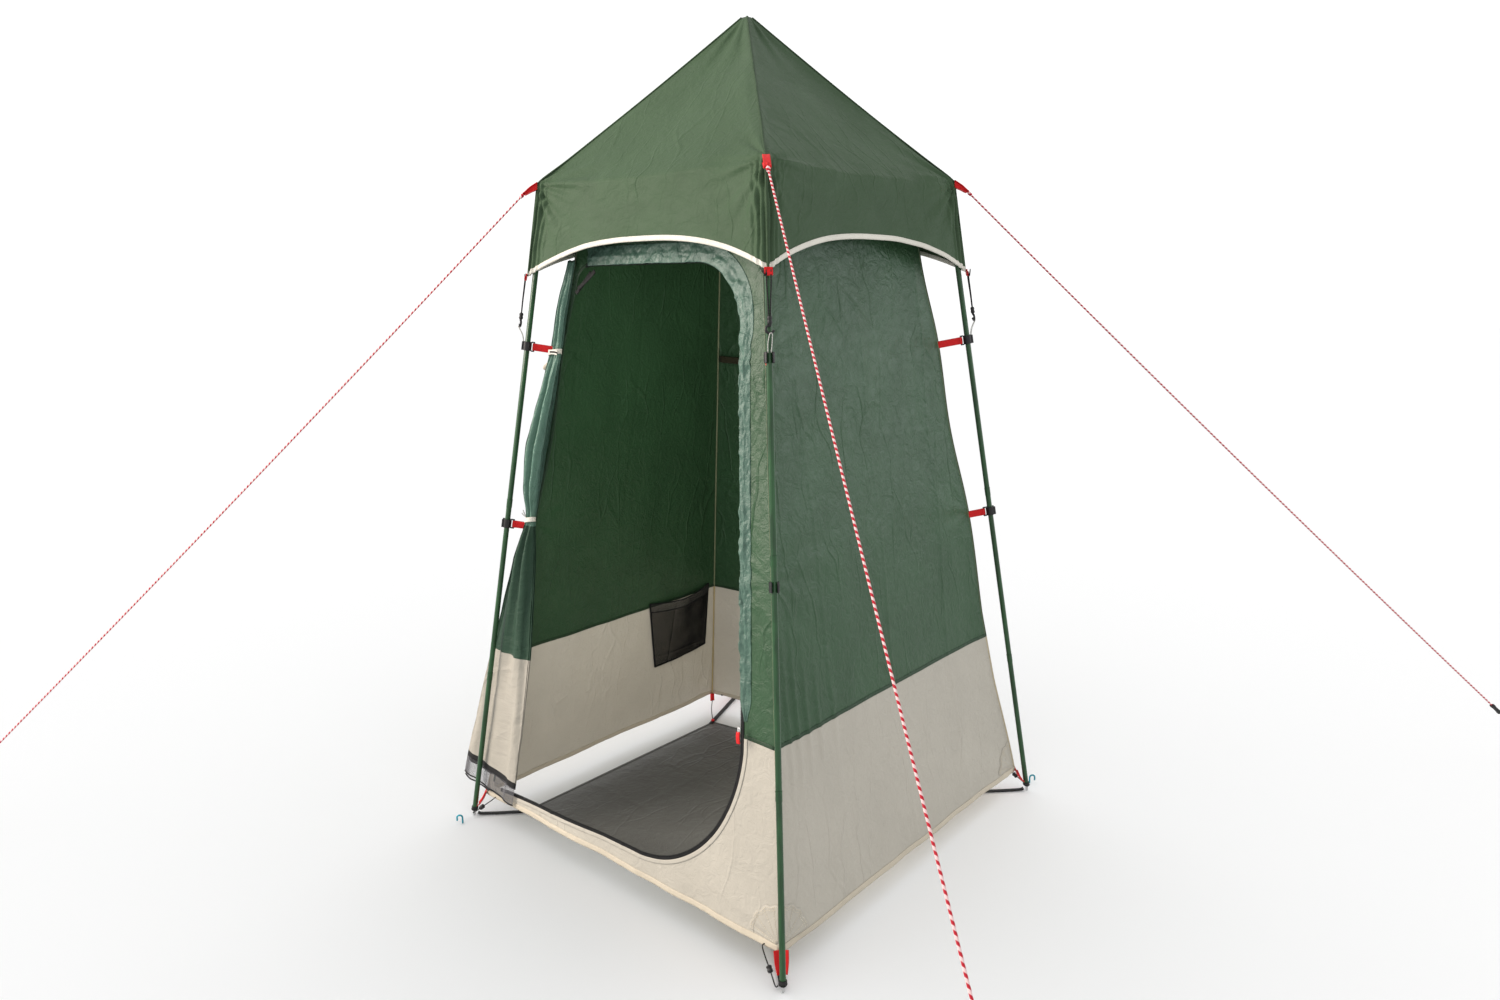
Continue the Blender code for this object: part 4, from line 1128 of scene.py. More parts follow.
def tie(level, height):
    """A tape loop drawn round the gathered door, with its toggle."""
    left, right, depth = (float(along_height(table, height)) for table in (DOOR_LEFT, DOOR_RIGHT, DOOR_DEPTH))
    centre_x, half_x = (left + right) / 2, (right - left) / 2 + 0.0055
    up = Vector((0, WALL_LEAN, 1)).normalized()

    def spot(x, proud, z=0.0):
        return front_at(0, height, 0) + Vector((x, 0, z)) + FRONT_NORMAL * proud

    ring = []
    for k in range(41):
        a = 2 * math.pi * k / 40
        proud = 0.0045 + depth / 2 + (depth / 2 + 0.0048) * math.sin(a)
        ring.append(spot(centre_x + half_x * math.cos(a), proud) + up * (0.004 * math.cos(a)))
    strap(f"tie_loop_{level}", ring, up, 0.0065, BINDING, slot="binding", thickness=0.0012, count=90)
    if level == "upper":
        # the free end with its button hole, and the toggle on its cord
        x, proud = right + 0.004, depth + 0.010
        end = [spot(x - 0.035, proud), spot(x - 0.012, proud + 0.002), spot(x + 0.008, proud + 0.004, -0.002)]
        strap("tie_end_upper", end, up, 0.0062, BINDING, slot="binding", thickness=0.0012)
        slot = [(-0.026, 0.0022, 0), (-0.004, 0.0036, 0), (0.010, 0.0052, -0.002)]
        slot = [spot(x + dx, proud + out, dz) for dx, out, dz in slot]
        strap("tie_slot_upper", slot, up, 0.0022, TAPE, slot="black_webbing", thickness=0.001)
        knot = spot(left - 0.004, depth * 0.6, -0.010)
        cord = [knot, knot + Vector((-0.008, 0, -0.010)), knot + Vector((-0.015, -0.002, -0.022))]
        rope("tie_cord_upper", cord, 0.0012, PALE_CORD, slot="binding")
        toggle = [(0.002, -0.016), (0.0066, -0.014), (0.0074, -0.005), (0.0058, 0)]
        toggle += [(r, -h) for r, h in reversed(toggle[:-1])]
        place = frame_at(knot + Vector((-0.017, -0.002, -0.028)), (0.85, 0, 0.5))
        lathe("tie_toggle_upper", toggle, place, CREAM_MOULDED)
        return
    knot = spot(left - 0.003, depth * 0.5, 0.004)
    for k, (dx, dz) in enumerate(((-0.016, 0.020), (-0.022, 0.010))):
        tail = [knot, knot + Vector((dx * 0.5, -0.002, dz * 0.3)), knot + Vector((dx, -0.003, dz))]
        rope(f"tie_tail_lower_{k}", tail, 0.0014, PALE_CORD, slot="binding")


# ---------------------------------------------------------------- the doorway's trim
def door_trim():
    step = 0.006
    x, height = door_path(0.0, step).T
    # the zip: from the lower left corner round to the slider, then on up under the flap to the top left
    start = 6
    stop = len(x) - 1 - int(np.argmax((x[::-1] > -0.30) & (height[::-1] > 1.5)))
    zip_line = door_path(0.0022, step)[start:stop]
    wall_strip("zip_tape", "front", zip_line, 0.0046, TAPE, 0.0016, 0.001)
    # teeth along the tape's inner edge
    fine = 0.004
    coil(door_path(-0.0018, fine)[round(start * 6 / 4):round(stop * 6 / 4)])
    facing = door_path(0.0125, step)
    right = next(k for k in range(stop) if facing[k, 1] > 0.515 and facing[k, 0] > 0.0)
    wall_strip("zip_facing", "front", facing[start:right], 0.0055, BEIGE, 0.0013)
    # the storm flap: up the right side and across the top
    flap_line = door_path(0.0135, fine)
    rows = np.array([k for k in range(len(flap_line) - 30) if flap_line[k, 1] > 0.555])
    first = rows[flap_line[rows, 0] > 0.0][0]
    last = rows[flap_line[rows, 0] < -0.29][0]
    storm_flap(flap_line[first:last])
    # the binding where the door is sewn to the wall, down the doorway's left edge
    wall_strip("door_hinge_binding", "front", door_path(0.004, step)[stop - 7:-2], 0.004, SEAM, 0.0014)
    # webbing that reinforces the top left corner
    for k, (dx, dz) in enumerate(((0.0, 0.0), (0.020, 0.012))):
        line = straight((-0.322 + dx * 0.4, 1.545 + dz), (-0.268 + dx, 1.600 + dz * 0.2), 0.004)
        proud = 0.006 + 0.002 * k
        wall_strip(f"corner_webbing_{k}", "front", line, 0.0058, TAPE, proud, 0.0012)


def coil(line):
    """The zip's coil: a fine helix along the edge."""
    pitch = 0.0035
    points, normal = on_wall("front", line, 0.0022)
    side = np.cross(normal, unit(np.gradient(points, axis=0)))
    run = run_of(points)
    t = np.linspace(0, run[-1], int(run[-1] / pitch * 6))
    at, s, n = (at_run(t, run, values) for values in (points, side, normal))
    angle = 2 * np.pi * t / pitch
    helix = at + s * (0.0022 * np.cos(angle))[:, None] + n * (0.0012 * np.sin(angle))[:, None]
    tube_piece("zip_coil", helix, 0.0006, 5, MOULDED)


def storm_flap(line):
    """The flap that covers the zip, puckered along its length and lifting off at its free edge."""
    run = run_of(line)
    t = np.linspace(0, 1, 21)
    taper = ease(run, 0, 0.05)[:, None] * 0.75 + 0.25
    wide = 1 + 0.62 * ease(line[:, 1], 1.38, 1.56)
    offset = ((t * 2)[None, :] * wide[:, None] - 1) * 0.0155 * taper
    flat = line[:, None] + outer_side(line)[:, None] * offset[..., None]
    u, v = t[None, :], run[:, None]
    inner = 1 - u
    lift = 0.0012 + 0.0052 * inner**1.3
    lift = lift + 0.0030 * (0.35 + inner) * noise(v * 30, u * 1.6 + v * 4, 81)
    lift = lift + 0.0028 * (0.3 + inner) * noise(v * 70 + u * 2, u * 2.4, 82)
    lift = lift + 0.0012 * noise(v * 150, u * 6, 83)
    lift = lift + 0.0016 * np.exp(-((u - 0.45 - 0.1 * noise(v * 6, 0.3, 84)) / 0.10) ** 2)
    lift = np.maximum(lift * ease(u, 1.02, 0.93), 0.0010 + 0.0040 * ease(inner, 0.5, 0.8))
    points, _ = on_wall("front", flat, lift[..., None])
    sheet_piece("storm_flap", points, paired(u * 0.03, v), DOOR, 0.0008)


def slider():
    """The zip slider and its webbing pull."""
    low, high = (front_at(*spot, 0) for spot in (DOOR_LOW_RIGHT, DOOR_HIGH_RIGHT))
    along, out = (high - low).normalized(), FRONT_NORMAL
    spot = front_at(*DOOR_LOW_RIGHT, 0.006) + along * 0.06
    half = [(0.0045, -0.0025), (0.0045, 0.0012), (0.0025, 0.0025)]
    outline = [(-x, y) for x, y in half[:1]] + half + [(-x, y) for x, y in half[:0:-1]]
    group = ("zip_slider", "zip_pull")
    body = prism("slider_body", outline, 0.014, frame_at(spot, along), STEEL, *group, 0.0008)
    top = spot + out * 0.0022

    def arc_of(start, pairs):
        return [start + along * run + out * proud for run, proud in pairs]

    loop = arc_of(top, ((0.004, 0), (0.002, 0.003), (-0.003, 0.003), (-0.006, 0)))
    rope("slider_bridge", loop, 0.0009, STEEL, *group, 30, 8)
    start = top - along * 0.003 + out * 0.0015
    pull = arc_of(start, ((0, 0), (-0.009, 0.0015), (-0.019, 0.001), (-0.028, -0.0005)))
    strap("slider_pull", pull, along.cross(out).normalized(), 0.0052, RED_STRAP, *group, 0.0022, 30)
    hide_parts("zip_slider")


# ---------------------------------------------------------------- poles, clips and hooks
def leg_trim(corner):
    """The ground pin under each leg and the swaged rings at its joints."""
    direction = leg_direction(corner)
    foot = leg_point(corner, 0)
    pin = [(0.0012, 0.0008), (0.0030, 0.0020), (0.0039, 0.0065), (0.0039, 0.0150)]
    pin += [(0.0050, 0.0165), (0.0060, 0.0178)]
    lathe(f"ground_pin_{corner}", pin, frame_at(foot, direction), STEEL)
    ring = [(0.0076, -0.026), (0.0081, -0.024), (0.0081, -0.003), (0.0084, -0.0015)]
    ring += [(0.0084, -0.0004), (0.0076, 0.0)]
    for k, height in enumerate(POLE_JOINTS):
        spot = foot + direction * (height / direction.z - 0.0003)
        lathe(f"swage_{k}_{corner}", ring, frame_at(spot, direction), POLE)


def pole_clip(level, corner):
    """A moulded clip snapped on the leg, and the webbing that ties it to the walls' corner."""
    centre = leg_point(corner, CLIP_HEIGHTS[level])
    inward = Vector(wall_corner(corner, CLIP_HEIGHTS[level])) - centre
    place = frame_at(centre, leg_direction(corner), inward)
    inner, outer = POLE_R + 0.0006, POLE_R + 0.0044
    mouth = 142  # degrees from the clip's back to each side of its mouth

    def ring(a, b, radius):
        return [(radius * math.cos(t), radius * math.sin(t)) for t in np.radians(np.linspace(a, b, 30))]

    def tip(angle):
        reach, angle = outer + 0.0016, math.radians(angle)
        return [(reach * math.cos(angle) - 0.0006, reach * math.sin(angle))]

    outline = ring(mouth, -mouth, outer) + tip(-mouth) + ring(-mouth - 1, mouth + 1, inner) + tip(mouth)
    tail = f"{level}_{corner}"
    body = prism(f"clip_ring_{tail}", outline, 0.024, place, MOULDED, round_by=0.0007)
    lip = [(-0.0012, -0.0013), (0.0052, -0.0011), (0.0060, 0.0), (0.0052, 0.0011), (-0.0012, 0.0013)]
    for k, side in enumerate((-1, 1)):
        spot = Matrix.Rotation(math.radians(180 - side * (180 - mouth)), 4, "Z")
        spot = spot @ Matrix.Translation((outer - 0.0006, 0, 0)) @ Matrix.Rotation(side * 0.55, 4, "Z")
        prism(f"clip_lip_{k}_{tail}", lip, 0.0236, place @ spot, MOULDED, round_by=0.0005)
    rib = [(outer - 0.0004, 0.0012), (outer + 0.0011, 0.0009)]
    rib = [(x, -y) for x, y in rib] + rib[::-1]
    for k, side in ((0, -1), (2, 1)):
        turn = Matrix.Rotation(math.radians(65 * side), 4, "Z")
        prism(f"clip_rib_{k}_{tail}", rib, 0.0208, place @ turn, MOULDED, round_by=0.0003)
    # the bar that the webbing goes round
    bar_x = outer + 0.0058
    ear = [(outer - 0.001, 0.0032), (bar_x + 0.0025, 0.0028)]
    ear = [(x, -y) for x, y in ear] + ear[::-1]
    for k, height in enumerate((-0.0122, 0.0122)):
        spot = place @ Matrix.Translation((0, 0, height))
        prism(f"clip_ear_{k}_{tail}", ear, 0.0032, spot, MOULDED, round_by=0.0006)
    bar = moved(place, [(bar_x, 0, z) for z in (-0.0135, 0, 0.0135)])
    rope(f"clip_bar_{tail}", bar, 0.0016, MOULDED, count=8)
    reach = inward.length - 0.001
    loop = [(reach, 0.0011, 0), (bar_x + 0.012, 0.0015, 0), (bar_x + 0.003, 0.0028, 0)]
    loop = loop + [(bar_x - 0.0026, 0, 0)] + [(x, -y, z) for x, y, z in reversed(loop)]
    turned = place.to_3x3()
    up = turned @ rise(1)
    strap(f"clip_strap_{tail}", moved(place, loop), up, 0.0098, RED_STRAP, thickness=0.0013, count=70)
    seam = moved(place, [(bar_x + 0.009, 0.0028, z) for z in (-0.008, 0.008)])
    stitches(f"clip_stitch_{tail}", seam, turned @ Vector((0, 1, 0)), RED_STRAP, "red_webbing")
    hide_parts(f"{level}_clip_{corner}")


def skirt_hook(corner):
    """The shock cord loop, its cord lock and its hook, which hang from the skirt's tip."""
    body = f"skirt_hook_{corner}"
    out = outward(corner)
    tip = leg_point(corner, SKIRT_TIP_Z - 0.006) + out * 0.026
    place = frame_at(tip, -leg_direction(corner), out)
    spots = [(0, 0.0052, -0.006), (0, 0.0050, 0.020), (0.0004, 0.0030, 0.060), (0, 0.0018, 0.098)]
    first = rope(f"hook_cord_a_{corner}", moved(place, spots), 0.0017, BLACK_CORD, body)
    rope(f"hook_cord_b_{corner}", moved(place, [(x, -y, z) for x, y, z in spots]), 0.0017, BLACK_CORD, body)
    knob = [
        (0.0020, 0.0935), (0.0046, 0.0945), (0.0056, 0.0975), (0.0056, 0.1000), (0.0048, 0.1015),
        (0.0048, 0.1045), (0.0058, 0.1060), (0.0058, 0.1085), (0.0044, 0.1112), (0.0022, 0.1120),
    ]
    lathe(f"hook_lock_{corner}", knob, place, MOULDED, body)
    centre, radius = rise(0.1225), 0.0086
    angles = np.radians(np.linspace(-8, 258, 30))
    bend = [centre + Vector((0, math.sin(a), -math.cos(a))) * radius for a in angles]
    path = smooth_path(moved(place, [rise(0.109), *bend]), 90)
    width = np.interp(np.linspace(0, 1, 90), [0, 0.1, 0.5, 0.9, 1], [0.0034, 0.0030, 0.0030, 0.0026, 0.0032])
    tube_piece(f"hook_{corner}", path, width, 12, MOULDED, body)
    tails = [
        ((0, 0.0052, -0.002), (0.001, 0.010, 0.004), (0.003, 0.019, -0.012)),
        ((0, 0.0052, 0.000), (0.002, 0.009, 0.007), (0.005, 0.014, -0.010)),
    ]
    for k, spots in enumerate(tails):
        rope(f"hook_tail_{k}_{corner}", moved(place, spots), 0.0011, BLACK_CORD, body, count=30)
    ball = [(0.0008, -0.0036), (0.0024, -0.0026), (0.0031, 0), (0.0024, 0.0026), (0.0008, 0.0036)]
    lathe(f"hook_knot_{corner}", ball, place @ Matrix.Translation((0, 0.0052, 0.002)), BLACK_CORD, body)
    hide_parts(body)
    # the webbing tab sewn into the hem's tip, which the cord goes through
    hem = leg_point(corner, SKIRT_TIP_Z) + out * 0.0215
    side = out.cross(rise(1))
    tab = [(0.006, 0.001), (-0.005, 0.0025), (-0.0115, 0.0042), (-0.0085, 0.0070), (0.0, 0.0040)]
    tab = [hem + rise(z) + out * proud for z, proud in tab]
    strap(f"skirt_tab_{corner}", tab, side, 0.0095, RED_STRAP, thickness=0.0012)
    # the loop on the clip that the hook takes
    clip = leg_point(corner, CLIP_HEIGHTS["upper"] + 0.012)
    catch = place @ Vector((0.0, -0.002, 0.1335))
    middle = clip.lerp(catch, 0.5)
    loop = [
        clip + out * 0.0115 + side * 0.004, middle + out * 0.004 + side * 0.005,
        catch + side * 0.003 + out * 0.0025, catch + out * 0.0035 + rise(0.003),
        catch - side * 0.003 + out * 0.0025,
        middle + out * 0.004 - side * 0.004, clip + out * 0.0115 - side * 0.003,
    ]
    rope(f"clip_loop_{corner}", loop, 0.0010, PALE_CORD, count=70)


def hem_lacing(corner):
    """The red webbing at the walls' lower corner, the lacing to the foot, and its cord lock."""
    sx, sy = CORNERS[corner]
    low = Vector(wall_corner(corner, HEM_Z + 0.004))
    toward = leg_point(corner, 0.030) - low
    toward.z = 0
    toward = toward.normalized()
    side = toward.cross(rise(1)).normalized()
    near = leg_point(corner, 0.034) - toward * 0.0105
    for k, s in enumerate((-1, 1)):
        path = [
            low + side * s * 0.010 + rise(0.006) + toward * 0.0015,
            low.lerp(near, 0.5) + side * s * 0.0085,
            near + side * s * 0.0045,
        ]
        wide = [side + toward * 0.4 * s] * 3
        strap(f"hem_webbing_{k}_{corner}", path, wide, 0.0080, RED_STRAP, thickness=0.0014, count=24)
    # lacing from the hem's eyelet through the lock to the foot
    proud = Vector((0, sy * 0.012, 0))
    along_wall = Vector((-sx, 0, 0))
    end = leg_point(corner, 0.016) + proud + along_wall * 0.012
    eyelet = Vector(wall_corner(corner, HEM_Z)) + proud + along_wall * 0.045
    way = (eyelet - end).normalized()
    stop = end + way * 0.030
    hem = Vector(wall_corner(corner, HEM_Z + 0.006)) + along_wall * 0.047 + Vector((0, sy * 0.002, 0))
    ring = leg_point(corner, 0.020)
    path = [hem, eyelet, stop, end, ring + (end - ring).normalized() * 0.0105]
    rope(f"lacing_{corner}", path, 0.0015, BLACK_CORD, count=80)
    knob = [
        (0.0022, -0.0005), (0.0055, 0.0005), (0.0066, 0.0030), (0.0066, 0.0062), (0.0056, 0.0078),
        (0.0056, 0.0098), (0.0067, 0.0115), (0.0064, 0.0145), (0.0040, 0.0162), (0.0022, 0.0165),
    ]
    lock = lathe(f"cord_lock_{corner}", knob, frame_at(stop, way), MOULDED, f"hem_toggle_{corner}")
    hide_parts(f"hem_toggle_{corner}")
    # the cord's turn round the foot, over the pin
    turn = []
    for a in np.linspace(0, 2 * math.pi, 25):
        turn.append(ring + Vector((math.cos(a) * 0.0092, math.sin(a) * 0.0092, 0.0012 * math.sin(2 * a))))
    rope(f"foot_turn_{corner}", turn, 0.0013, BLACK_CORD, count=70)


def guy_tab(corner):
    """The red webbing that is sewn into the eave's corner and holds the guy line."""
    out = outward(corner)
    eave = leg_point(corner, EAVE_Z + CANOPY_EDGE)
    end = guy_start(corner)
    high, low = (eave + out * 0.0215 + rise(z) for z in (0.004, -0.014))
    loop = [
        high, high.lerp(end, 0.55) + rise(0.003), end - out * 0.002 + rise(0.0035),
        end + out * 0.003 - rise(0.0005), end - out * 0.002 - rise(0.0045),
        low.lerp(end, 0.5) - rise(0.002), low,
    ]
    strap(f"guy_tab_{corner}", loop, out.cross(rise(1)), 0.0085, RED_STRAP, thickness=0.0014, count=60)
    # the webbing's folded edge, stitched shut between its two lays
    share, level = np.linspace(0, 1, 16)[:, None], np.linspace(0, 1, 7)[None, :]
    start = blend(np.array(low), np.array(high), level)
    stop = np.array(end) + np.array([0, 0, 0.007]) * (level[..., None] - 0.5)
    fold, uv = blend(start, stop, share), paired(level * 0.015, share * 0.04)
    sheet_piece(f"guy_fold_{corner}", fold, uv, RED_STRAP, 0.007)
    if corner in GUY_PEGS:
        lump = [(0.001, -0.007), (0.0042, -0.005), (0.0052, -0.001)]
        lump += [(0.0040, 0.002), (0.0048, 0.005), (0.001, 0.008)]
        for label, at, a, b in (("guy", 0.004, 0, 0.02), ("peg", 0.9965, 1, 0.99)):
            way = guy_point(corner, b) - guy_point(corner, a)
            lathe(f"{label}_knot_{corner}", lump, frame_at(guy_point(corner, at), way), GUY)


def runner(corner):
    """The line tensioner: a rounded bar with the cord through it."""
    share = 1 - 0.30 / (guy_point(corner, 1) - guy_point(corner, 0)).length
    way = (guy_point(corner, share + 0.01) - guy_point(corner, share - 0.01)).normalized()
    body = f"guy_runner_{corner}"
    half = [(0.006, 0.0058), (0.016, 0.0070), (0.0215, 0.0064), (0.0225, 0.0030)]
    angles = np.linspace(0, 2 * math.pi, 28, endpoint=False)

    def flattened(value):
        return math.copysign(abs(value) ** 0.6, value)

    rings = []
    for z, r in [(-z, r) for z, r in reversed(half)] + half:
        rings.append([(r * flattened(math.cos(a)), 0.64 * r * flattened(math.sin(a)), z) for a in angles])
    hole = GUY_R + 0.0006
    for z in (0.0228, -0.0228):
        rings.append([(hole * math.cos(a), hole * math.sin(a), z) for a in angles])
    rings = np.array(rings)
    rows, sides = rings.shape[:2]
    quads = grid_faces(rows, sides, closed=True).tolist()
    last = (rows - 1) * sides
    quads += [(last + k, last + (k + 1) % sides, (k + 1) % sides, k) for k in range(sides)]
    mesh = bpy.data.meshes.new(f"tensioner_{corner}")
    place = frame_at(guy_point(corner, share), way)
    mesh.from_pydata(moved(place, rings.reshape(-1, 3)).tolist(), [], quads)
    made = finish_mesh(f"tensioner_{corner}", mesh, [MOULDED], body)
    mesh.set_sharp_from_angle(angle=math.radians(50))
    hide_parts(body)
    return made


def peg(name, node, spot, way):
    """A bent wire peg driven in to its hook."""
    foot = Vector((*spot, 0))
    points = [foot + rise(z) for z in (0.0004, 0.006, 0.013)]
    for a in np.radians(np.linspace(180, 0, 13)):
        points.append(foot + way * (0.008 + 0.008 * math.cos(a)) + rise(0.018 + 0.008 * math.sin(a)))
    points.append(points[-1] - rise(0.009))
    made = rope(name, points, 0.0025, PEG, slot="teal_peg", count=80, sides=12)
    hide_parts(node)
    return made


# ---------------------------------------------------------------- inside
def corner_seams():
    """The rolled seam up each corner of the walls, outside, and its tape inside."""
    low = ("low", HEM_Z + 0.001, BORDER_Z, "splash_fabric", BEIGE_EDGE, PALE_SEAM_LOW)
    high = ("high", BORDER_Z, WALL_TOP_Z - 0.001, "wall_fabric", SEAM, PALE_SEAM)
    for corner in NAMES:
        inward = -np.array([*CORNERS[corner], 0]) / math.sqrt(2)
        for label, start, end, slot, outside, inside in (low, high):
            line = wall_corner(corner, np.linspace(start, end, 90))
            faces = (("out", -0.0006, 0.0021, outside), ("in", 0.0022, 0.0026, inside))
            for face, shift, radius, finish in faces:
                name = f"corner_seam_{face}_{label}_{corner}"
                tube_piece(name, line + inward * shift, radius, 8, finish)


def pocket():
    """The netting pocket inside the left wall, with a dense band along its mouth."""
    # each corner's height, and its distance from the wall's back edge
    low_back, low_front = np.array([(0.30, 0.05), (0.285, 0.30)])
    high_back, high_front = np.array([(0.535, 0.035), (0.53, 0.32)])

    def patch(u, v):
        """u from the back edge to the front, v from the bottom to the top."""
        spot = blend(blend(low_back, low_front, u), blend(high_back, high_front, u), v)
        z, run = spot[..., 0], spot[..., 1]
        z = z - 0.012 * np.sin(np.pi * u) * v
        length = np.linalg.norm(wall_corner("front_left", z) - wall_corner("back_left", z), axis=-1)
        points, normal = wall_points("left", (run / length - 0.5) * 2 * wall_half(z), z)
        bow = np.sin(np.pi * u)
        belly = 0.005 + 0.016 * bow * (0.25 + 0.75 * v) + 0.003 * noise(u * 4, v * 4, 91) * bow
        return points - normal * belly[..., None]

    def net_piece(name, low, high, pitch, thickness, finish):
        count = round(0.26 / pitch) + 1, round(0.24 * (high - low) / pitch) + 1
        u, v = np.meshgrid(np.linspace(0, 1, count[0]), np.linspace(low, high, count[1]))
        made = sheet_piece(name, patch(u, v), np.stack([u * 0.26, v * 0.24], -1), finish)
        netting(made, thickness)
        return made

    mouth = 0.87
    body = net_piece("pocket_net", 0, mouth, 0.0036, 0.0021, MESH)
    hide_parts("mesh_pocket")
    net_piece("pocket_band", mouth, 1.0, 0.0026, 0.0015, BAND_MESH)
    u, ones = np.linspace(0, 1, 40), np.ones(40)
    lines = {
        "top": (u, ones, 0.0022), "under_band": (u, ones * mouth, 0.0016), "bottom": (u, ones * 0, 0.0028),
        "back": (ones * 0, u, 0.0028), "front": (ones, u, 0.0028),
    }
    for label, (a, b, radius) in lines.items():
        tube_piece(f"pocket_edge_{label}", patch(a, b), radius, 8, TAPE)


def back_spot(share, z, inside):
    """A point inside the back wall, from a share of its width."""
    points, normal = wall_points("back", (share - 0.5) * 2 * wall_half(z), z)
    return points - normal * inside


def towel_strap():
    share = np.linspace(0.02, 0.984, 80)
    bow = np.sin(np.pi * (share - 0.02) / 0.964)
    height, inside = 1.33 - 0.010 * bow, 0.010 + 0.006 * np.sin(np.pi * share)
    centre = np.array([back_spot(*spot) for spot in zip(share, height, inside)])
    across = np.broadcast_to(np.array([0, -WALL_LEAN * 0.3, 1.0]), centre.shape)
    mesh = ribbon_mesh("inner_strap", centre, across, 0.0105, columns=7)
    made = thicken(finish_mesh("inner_strap", mesh, [OLIVE_STRAP]), 0.0016)
    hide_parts("towel_strap")
    run = unit(back_spot(0.6, 1.44, 0) - back_spot(0.4, 1.44, 0))
    path = [(1.462, 0.003), (1.44, 0.009), (1.418, 0.008), (1.422, 0.004), (1.445, 0.003)]
    path = [back_spot(0.47, z, inside) for z, inside in path]
    tab = strap("inner_tab", path, run, 0.0105, STRAP, slot="black_webbing")
    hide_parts("hanging_tab")


def groundsheet():
    """The floor cloth: flat on the ground, with faint waves, a bound edge and a strap to each foot."""
    corner = {name: np.array(CORNERS[name]) * FLOOR_HALF for name in NAMES}
    corner["back_left"] = corner["back_left"] - np.array([0, BACK_LEFT_SLACK])
    u, v = np.meshgrid(np.linspace(0, 1, 130), np.linspace(0, 1, 120))
    front = blend(corner["front_left"], corner["front_right"], u)
    flat = blend(front, blend(corner["back_left"], corner["back_right"], u), v)
    x, y = flat[..., 0], flat[..., 1]
    edge = np.minimum(np.minimum(u, 1 - u), np.minimum(v, 1 - v))
    wave = 0.0016 * (1 + noise(x * 5, y * 5, 101)) * ease(edge, 0, 0.06)
    wave = wave + 0.0008 * (1 + noise(x * 16, y * 12, 102)) * ease(edge, 0, 0.03)
    packed = 0
    for line in (-0.25, 0.0, 0.25):
        creases = [0.0014 * np.exp(-np.abs(metres - line) / 0.004) for metres in (x, y)]
        packed = packed + sum(creases)
    z = 0.0011 + (wave * 0.6 + packed * ease(edge, 0, 0.05))
    pull = 1 - 0.012 * np.sin(np.pi * u) * (np.abs(v - 0.5) * 2) ** 6
    points = np.stack([x, y * pull, z], -1)
    made = sheet_piece("floor_cloth", points, flat, SHEET)
    thicken(made, 0.0009, 1.0)
    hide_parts("groundsheet")
    ring = np.concatenate([points[0], points[1:, -1], points[-1, ::-1][1:], points[::-1, 0][1:]])
    inward = ring.mean(0) - ring
    inward[:, 2] = 0
    inward = unit(inward)
    middle = ring + inward * 0.005 + np.array([0, 0, 0.0010])
    up = np.broadcast_to(np.array([0.0, 0, 1]), ring.shape)
    mesh = ribbon_mesh("floor_binding", middle, inward, 0.006, 4, 0.0004, up)
    thicken(finish_mesh("floor_binding", mesh, [SHEET_EDGE]))
    collar = [(0.0078, -0.0045), (0.0096, -0.004), (0.0100, 0.0), (0.0096, 0.004), (0.0078, 0.0045)]
    for name in NAMES:
        foot = leg_point(name, 0)
        tip = Vector((*corner[name], 0.0022))
        way = foot - tip
        way.z = 0
        length = way.length
        way.normalize()
        across = Vector((-way.y, way.x, 0))
        if name == "back_left":
            loose_corner(tip, across)
        path = [
            tip - way * 0.020 + rise(0.0012), tip + way * 0.004 + rise(0.0012),
            tip + way * length * 0.5 + rise(0.0008),
            foot - way * 0.022 + rise(0.0042), foot - way * 0.0125 + rise(0.0085),
        ]
        strap(f"floor_strap_{name}", path, across, 0.0078, STRAP, "root", "black_webbing", 0.0014, 50)
        lathe(f"foot_collar_{name}", collar, frame_at(leg_point(name, 0.0245), leg_direction(name)), MOULDED)


def loose_corner(tip, across):
    """The red webbing and cord from the walls' slack corner to the groundsheet's."""
    hem = Vector(wall_corner("back_left", HEM_Z + 0.002))
    tab = [hem + rise(0.012), hem, hem.lerp(tip, 0.28)]
    strap("corner_tab_back_left", tab, across, 0.0075, RED_STRAP, thickness=0.0014)
    cord = [hem.lerp(tip, 0.24), hem.lerp(tip, 0.6) + across * 0.004, tip + rise(0.004)]
    rope("corner_cord_back_left", cord, 0.0015, BLACK_CORD)
    dot = [(0.002, -0.004), (0.0052, -0.003), (0.0058, 0.0), (0.0052, 0.003), (0.002, 0.004)]
    place = frame_at(tip + rise(0.0055), hem - tip)
    lathe("corner_dot_back_left", dot, place, RED_MOULDED)


def hub_cap():
    """Two crossed webbing patches inside the peak, over the hub."""
    for k, corner in enumerate(("front_left", "front_right")):
        out = outward(corner)
        steps = (-0.02, -0.008, 0.0, 0.008, 0.02)
        path = [rise(APEX_Z - 0.012) + out * s - rise(abs(s) * 0.9) for s in steps]
        strap(f"peak_patch_{k}", path, out.cross(rise(1)), 0.007, STRAP, "root", "black_webbing", 0.001, 24)


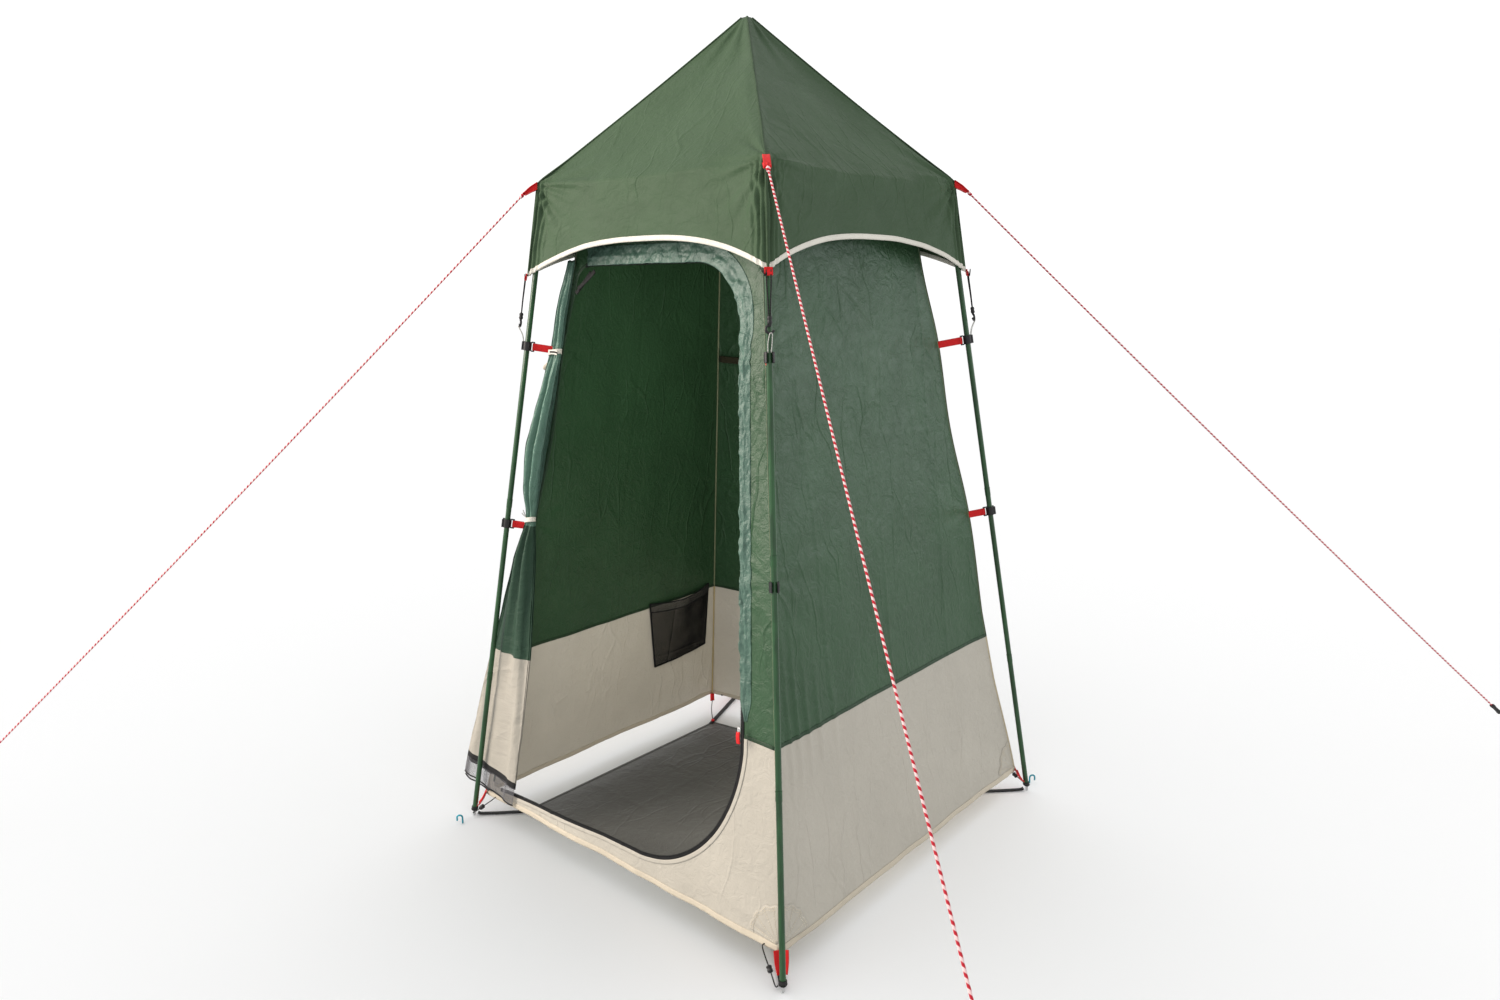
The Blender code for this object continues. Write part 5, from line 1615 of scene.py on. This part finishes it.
# ---------------------------------------------------------------- stage and light
def stage():
    mesh = bpy.data.meshes.new("studio_floor")
    half = 40
    corners = [(-half, -half, 0), (half, -half, 0), (half, half, 0), (-half, half, 0)]
    mesh.from_pydata(corners, [], [(0, 1, 2, 3)])
    floor = bpy.data.objects.new("studio_floor", mesh)
    floor.location.z = -0.0006
    bpy.context.scene.collection.objects.link(floor)
    mesh.materials.append(blank("studio_paper", (0.925, 0.925, 0.925), 0.9, Specular_IOR_Level=0.1)[0])
    world = bpy.data.worlds.new("studio")
    world.use_nodes = True
    sky = world.node_tree.nodes["Background"].inputs
    sky["Color"].default_value = (1, 1, 1, 1)
    sky["Strength"].default_value = 1.10
    bpy.context.scene.world = world
    softbox("wall_gloss", (-2.9, -3.7, 2.7), 2.6, 315, (1.0, 0.90, 0.81))
    softbox("roof_gloss", (-2.9, -2.6, 4.9), 2.4, 72, (1.0, 0.93, 0.82))
    softbox("side_gloss", (2.6, 2.5, 1.75), 0.9, 20, (0.90, 0.97, 1.0))
    for k, (place, power) in enumerate((((0.22, -0.12, 0.40), 4.4), ((0.20, -0.10, 1.35), 5.2))):
        inside = lamp(f"inside_{k}", "POINT", place, power, (1.0, 0.95, 0.88))
        inside.data.shadow_soft_size = 0.2
        inside.visible_camera = inside.visible_glossy = False
    # the lamps light the tent and leave the paper to the even light all round
    paper = bpy.data.collections.new("paper")
    paper.objects.link(floor)
    paper.collection_objects[0].light_linking.link_state = "EXCLUDE"
    for made in bpy.data.objects:
        if made.type == "LIGHT":
            made.light_linking.receiver_collection = paper
    bpy.context.scene.view_settings.view_transform = "Standard"


def lamp(name, kind, place, power, colour):
    light = bpy.data.lights.new(name, kind)
    light.energy = power
    light.color = colour
    made = bpy.data.objects.new(name, light)
    made.location = place
    bpy.context.scene.collection.objects.link(made)
    return made


def softbox(name, place, size, power, colour):
    """A square lamp that faces the middle of the tent."""
    made = lamp(name, "AREA", place, power, colour)
    made.data.size = size
    made.rotation_mode = "QUATERNION"
    made.rotation_quaternion = (rise(1.0) - Vector(place)).to_track_quat("-Z", "Y")


# ---------------------------------------------------------------- guy lines
def guy_start(corner):
    return leg_point(corner, EAVE_Z + CANOPY_EDGE) + outward(corner) * 0.058 - rise(0.024)


def guy_point(corner, share):
    """A point on the guy line, from its tab (0) to its peg (1), with its sag."""
    start = guy_start(corner)
    pegged = Vector((*GUY_PEGS[corner], PEG_RISE * 0.6))
    end = pegged - (pegged - start).normalized() * (0.0025 + GUY_R + 0.001)
    return start.lerp(end, share) - rise(GUY_SAG * 4 * share * (1 - share))


def guy_lines():
    def bump(angle, run):
        return 0.00022 * np.sin(3 * angle + run * 900) * np.sin(3 * angle - run * 900)

    for corner in GUY_PEGS:
        path = np.array([guy_point(corner, t) for t in np.linspace(0, 1, 600)])
        made = tube_piece(f"guy_cord_{corner}", path, GUY_R - 0.0001, 12, GUY, bump=bump)
        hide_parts(f"guy_line_{corner}")
        bar = runner(corner)
        hook = peg(f"line_peg_{corner}", f"guy_peg_{corner}", GUY_PEGS[corner], outward(corner))


# ---------------------------------------------------------------- CAD nodes that stay
def dress_nodes():
    """Finishes for the CAD nodes that stay: the poles, and the elbows and hub under the canopy."""
    for name, node in frame["nodes"].items():
        finish = POLE if name.startswith(("leg_", "roof_pole")) else MOULDED
        node.data.materials.clear()
        node.data.materials.append(finish)


make_camera()
dress_nodes()
guy_lines()
stage()
for label in ("right", "back", "left"):
    plain_wall(label)
front_wall()
wall_seams()
corner_seams()
door()
door_trim()
slider()
canopy()
for corner in NAMES:
    leg_trim(corner)
    for level in CLIP_HEIGHTS:
        pole_clip(level, corner)
    skirt_hook(corner)
    hem_lacing(corner)
    guy_tab(corner)
for corner, spot in FOOT_PEGS.items():
    peg(f"foot_peg_{corner}", f"ground_peg_{corner}", spot, outward(corner))
pocket()
towel_strap()
groundsheet()
hub_cap()
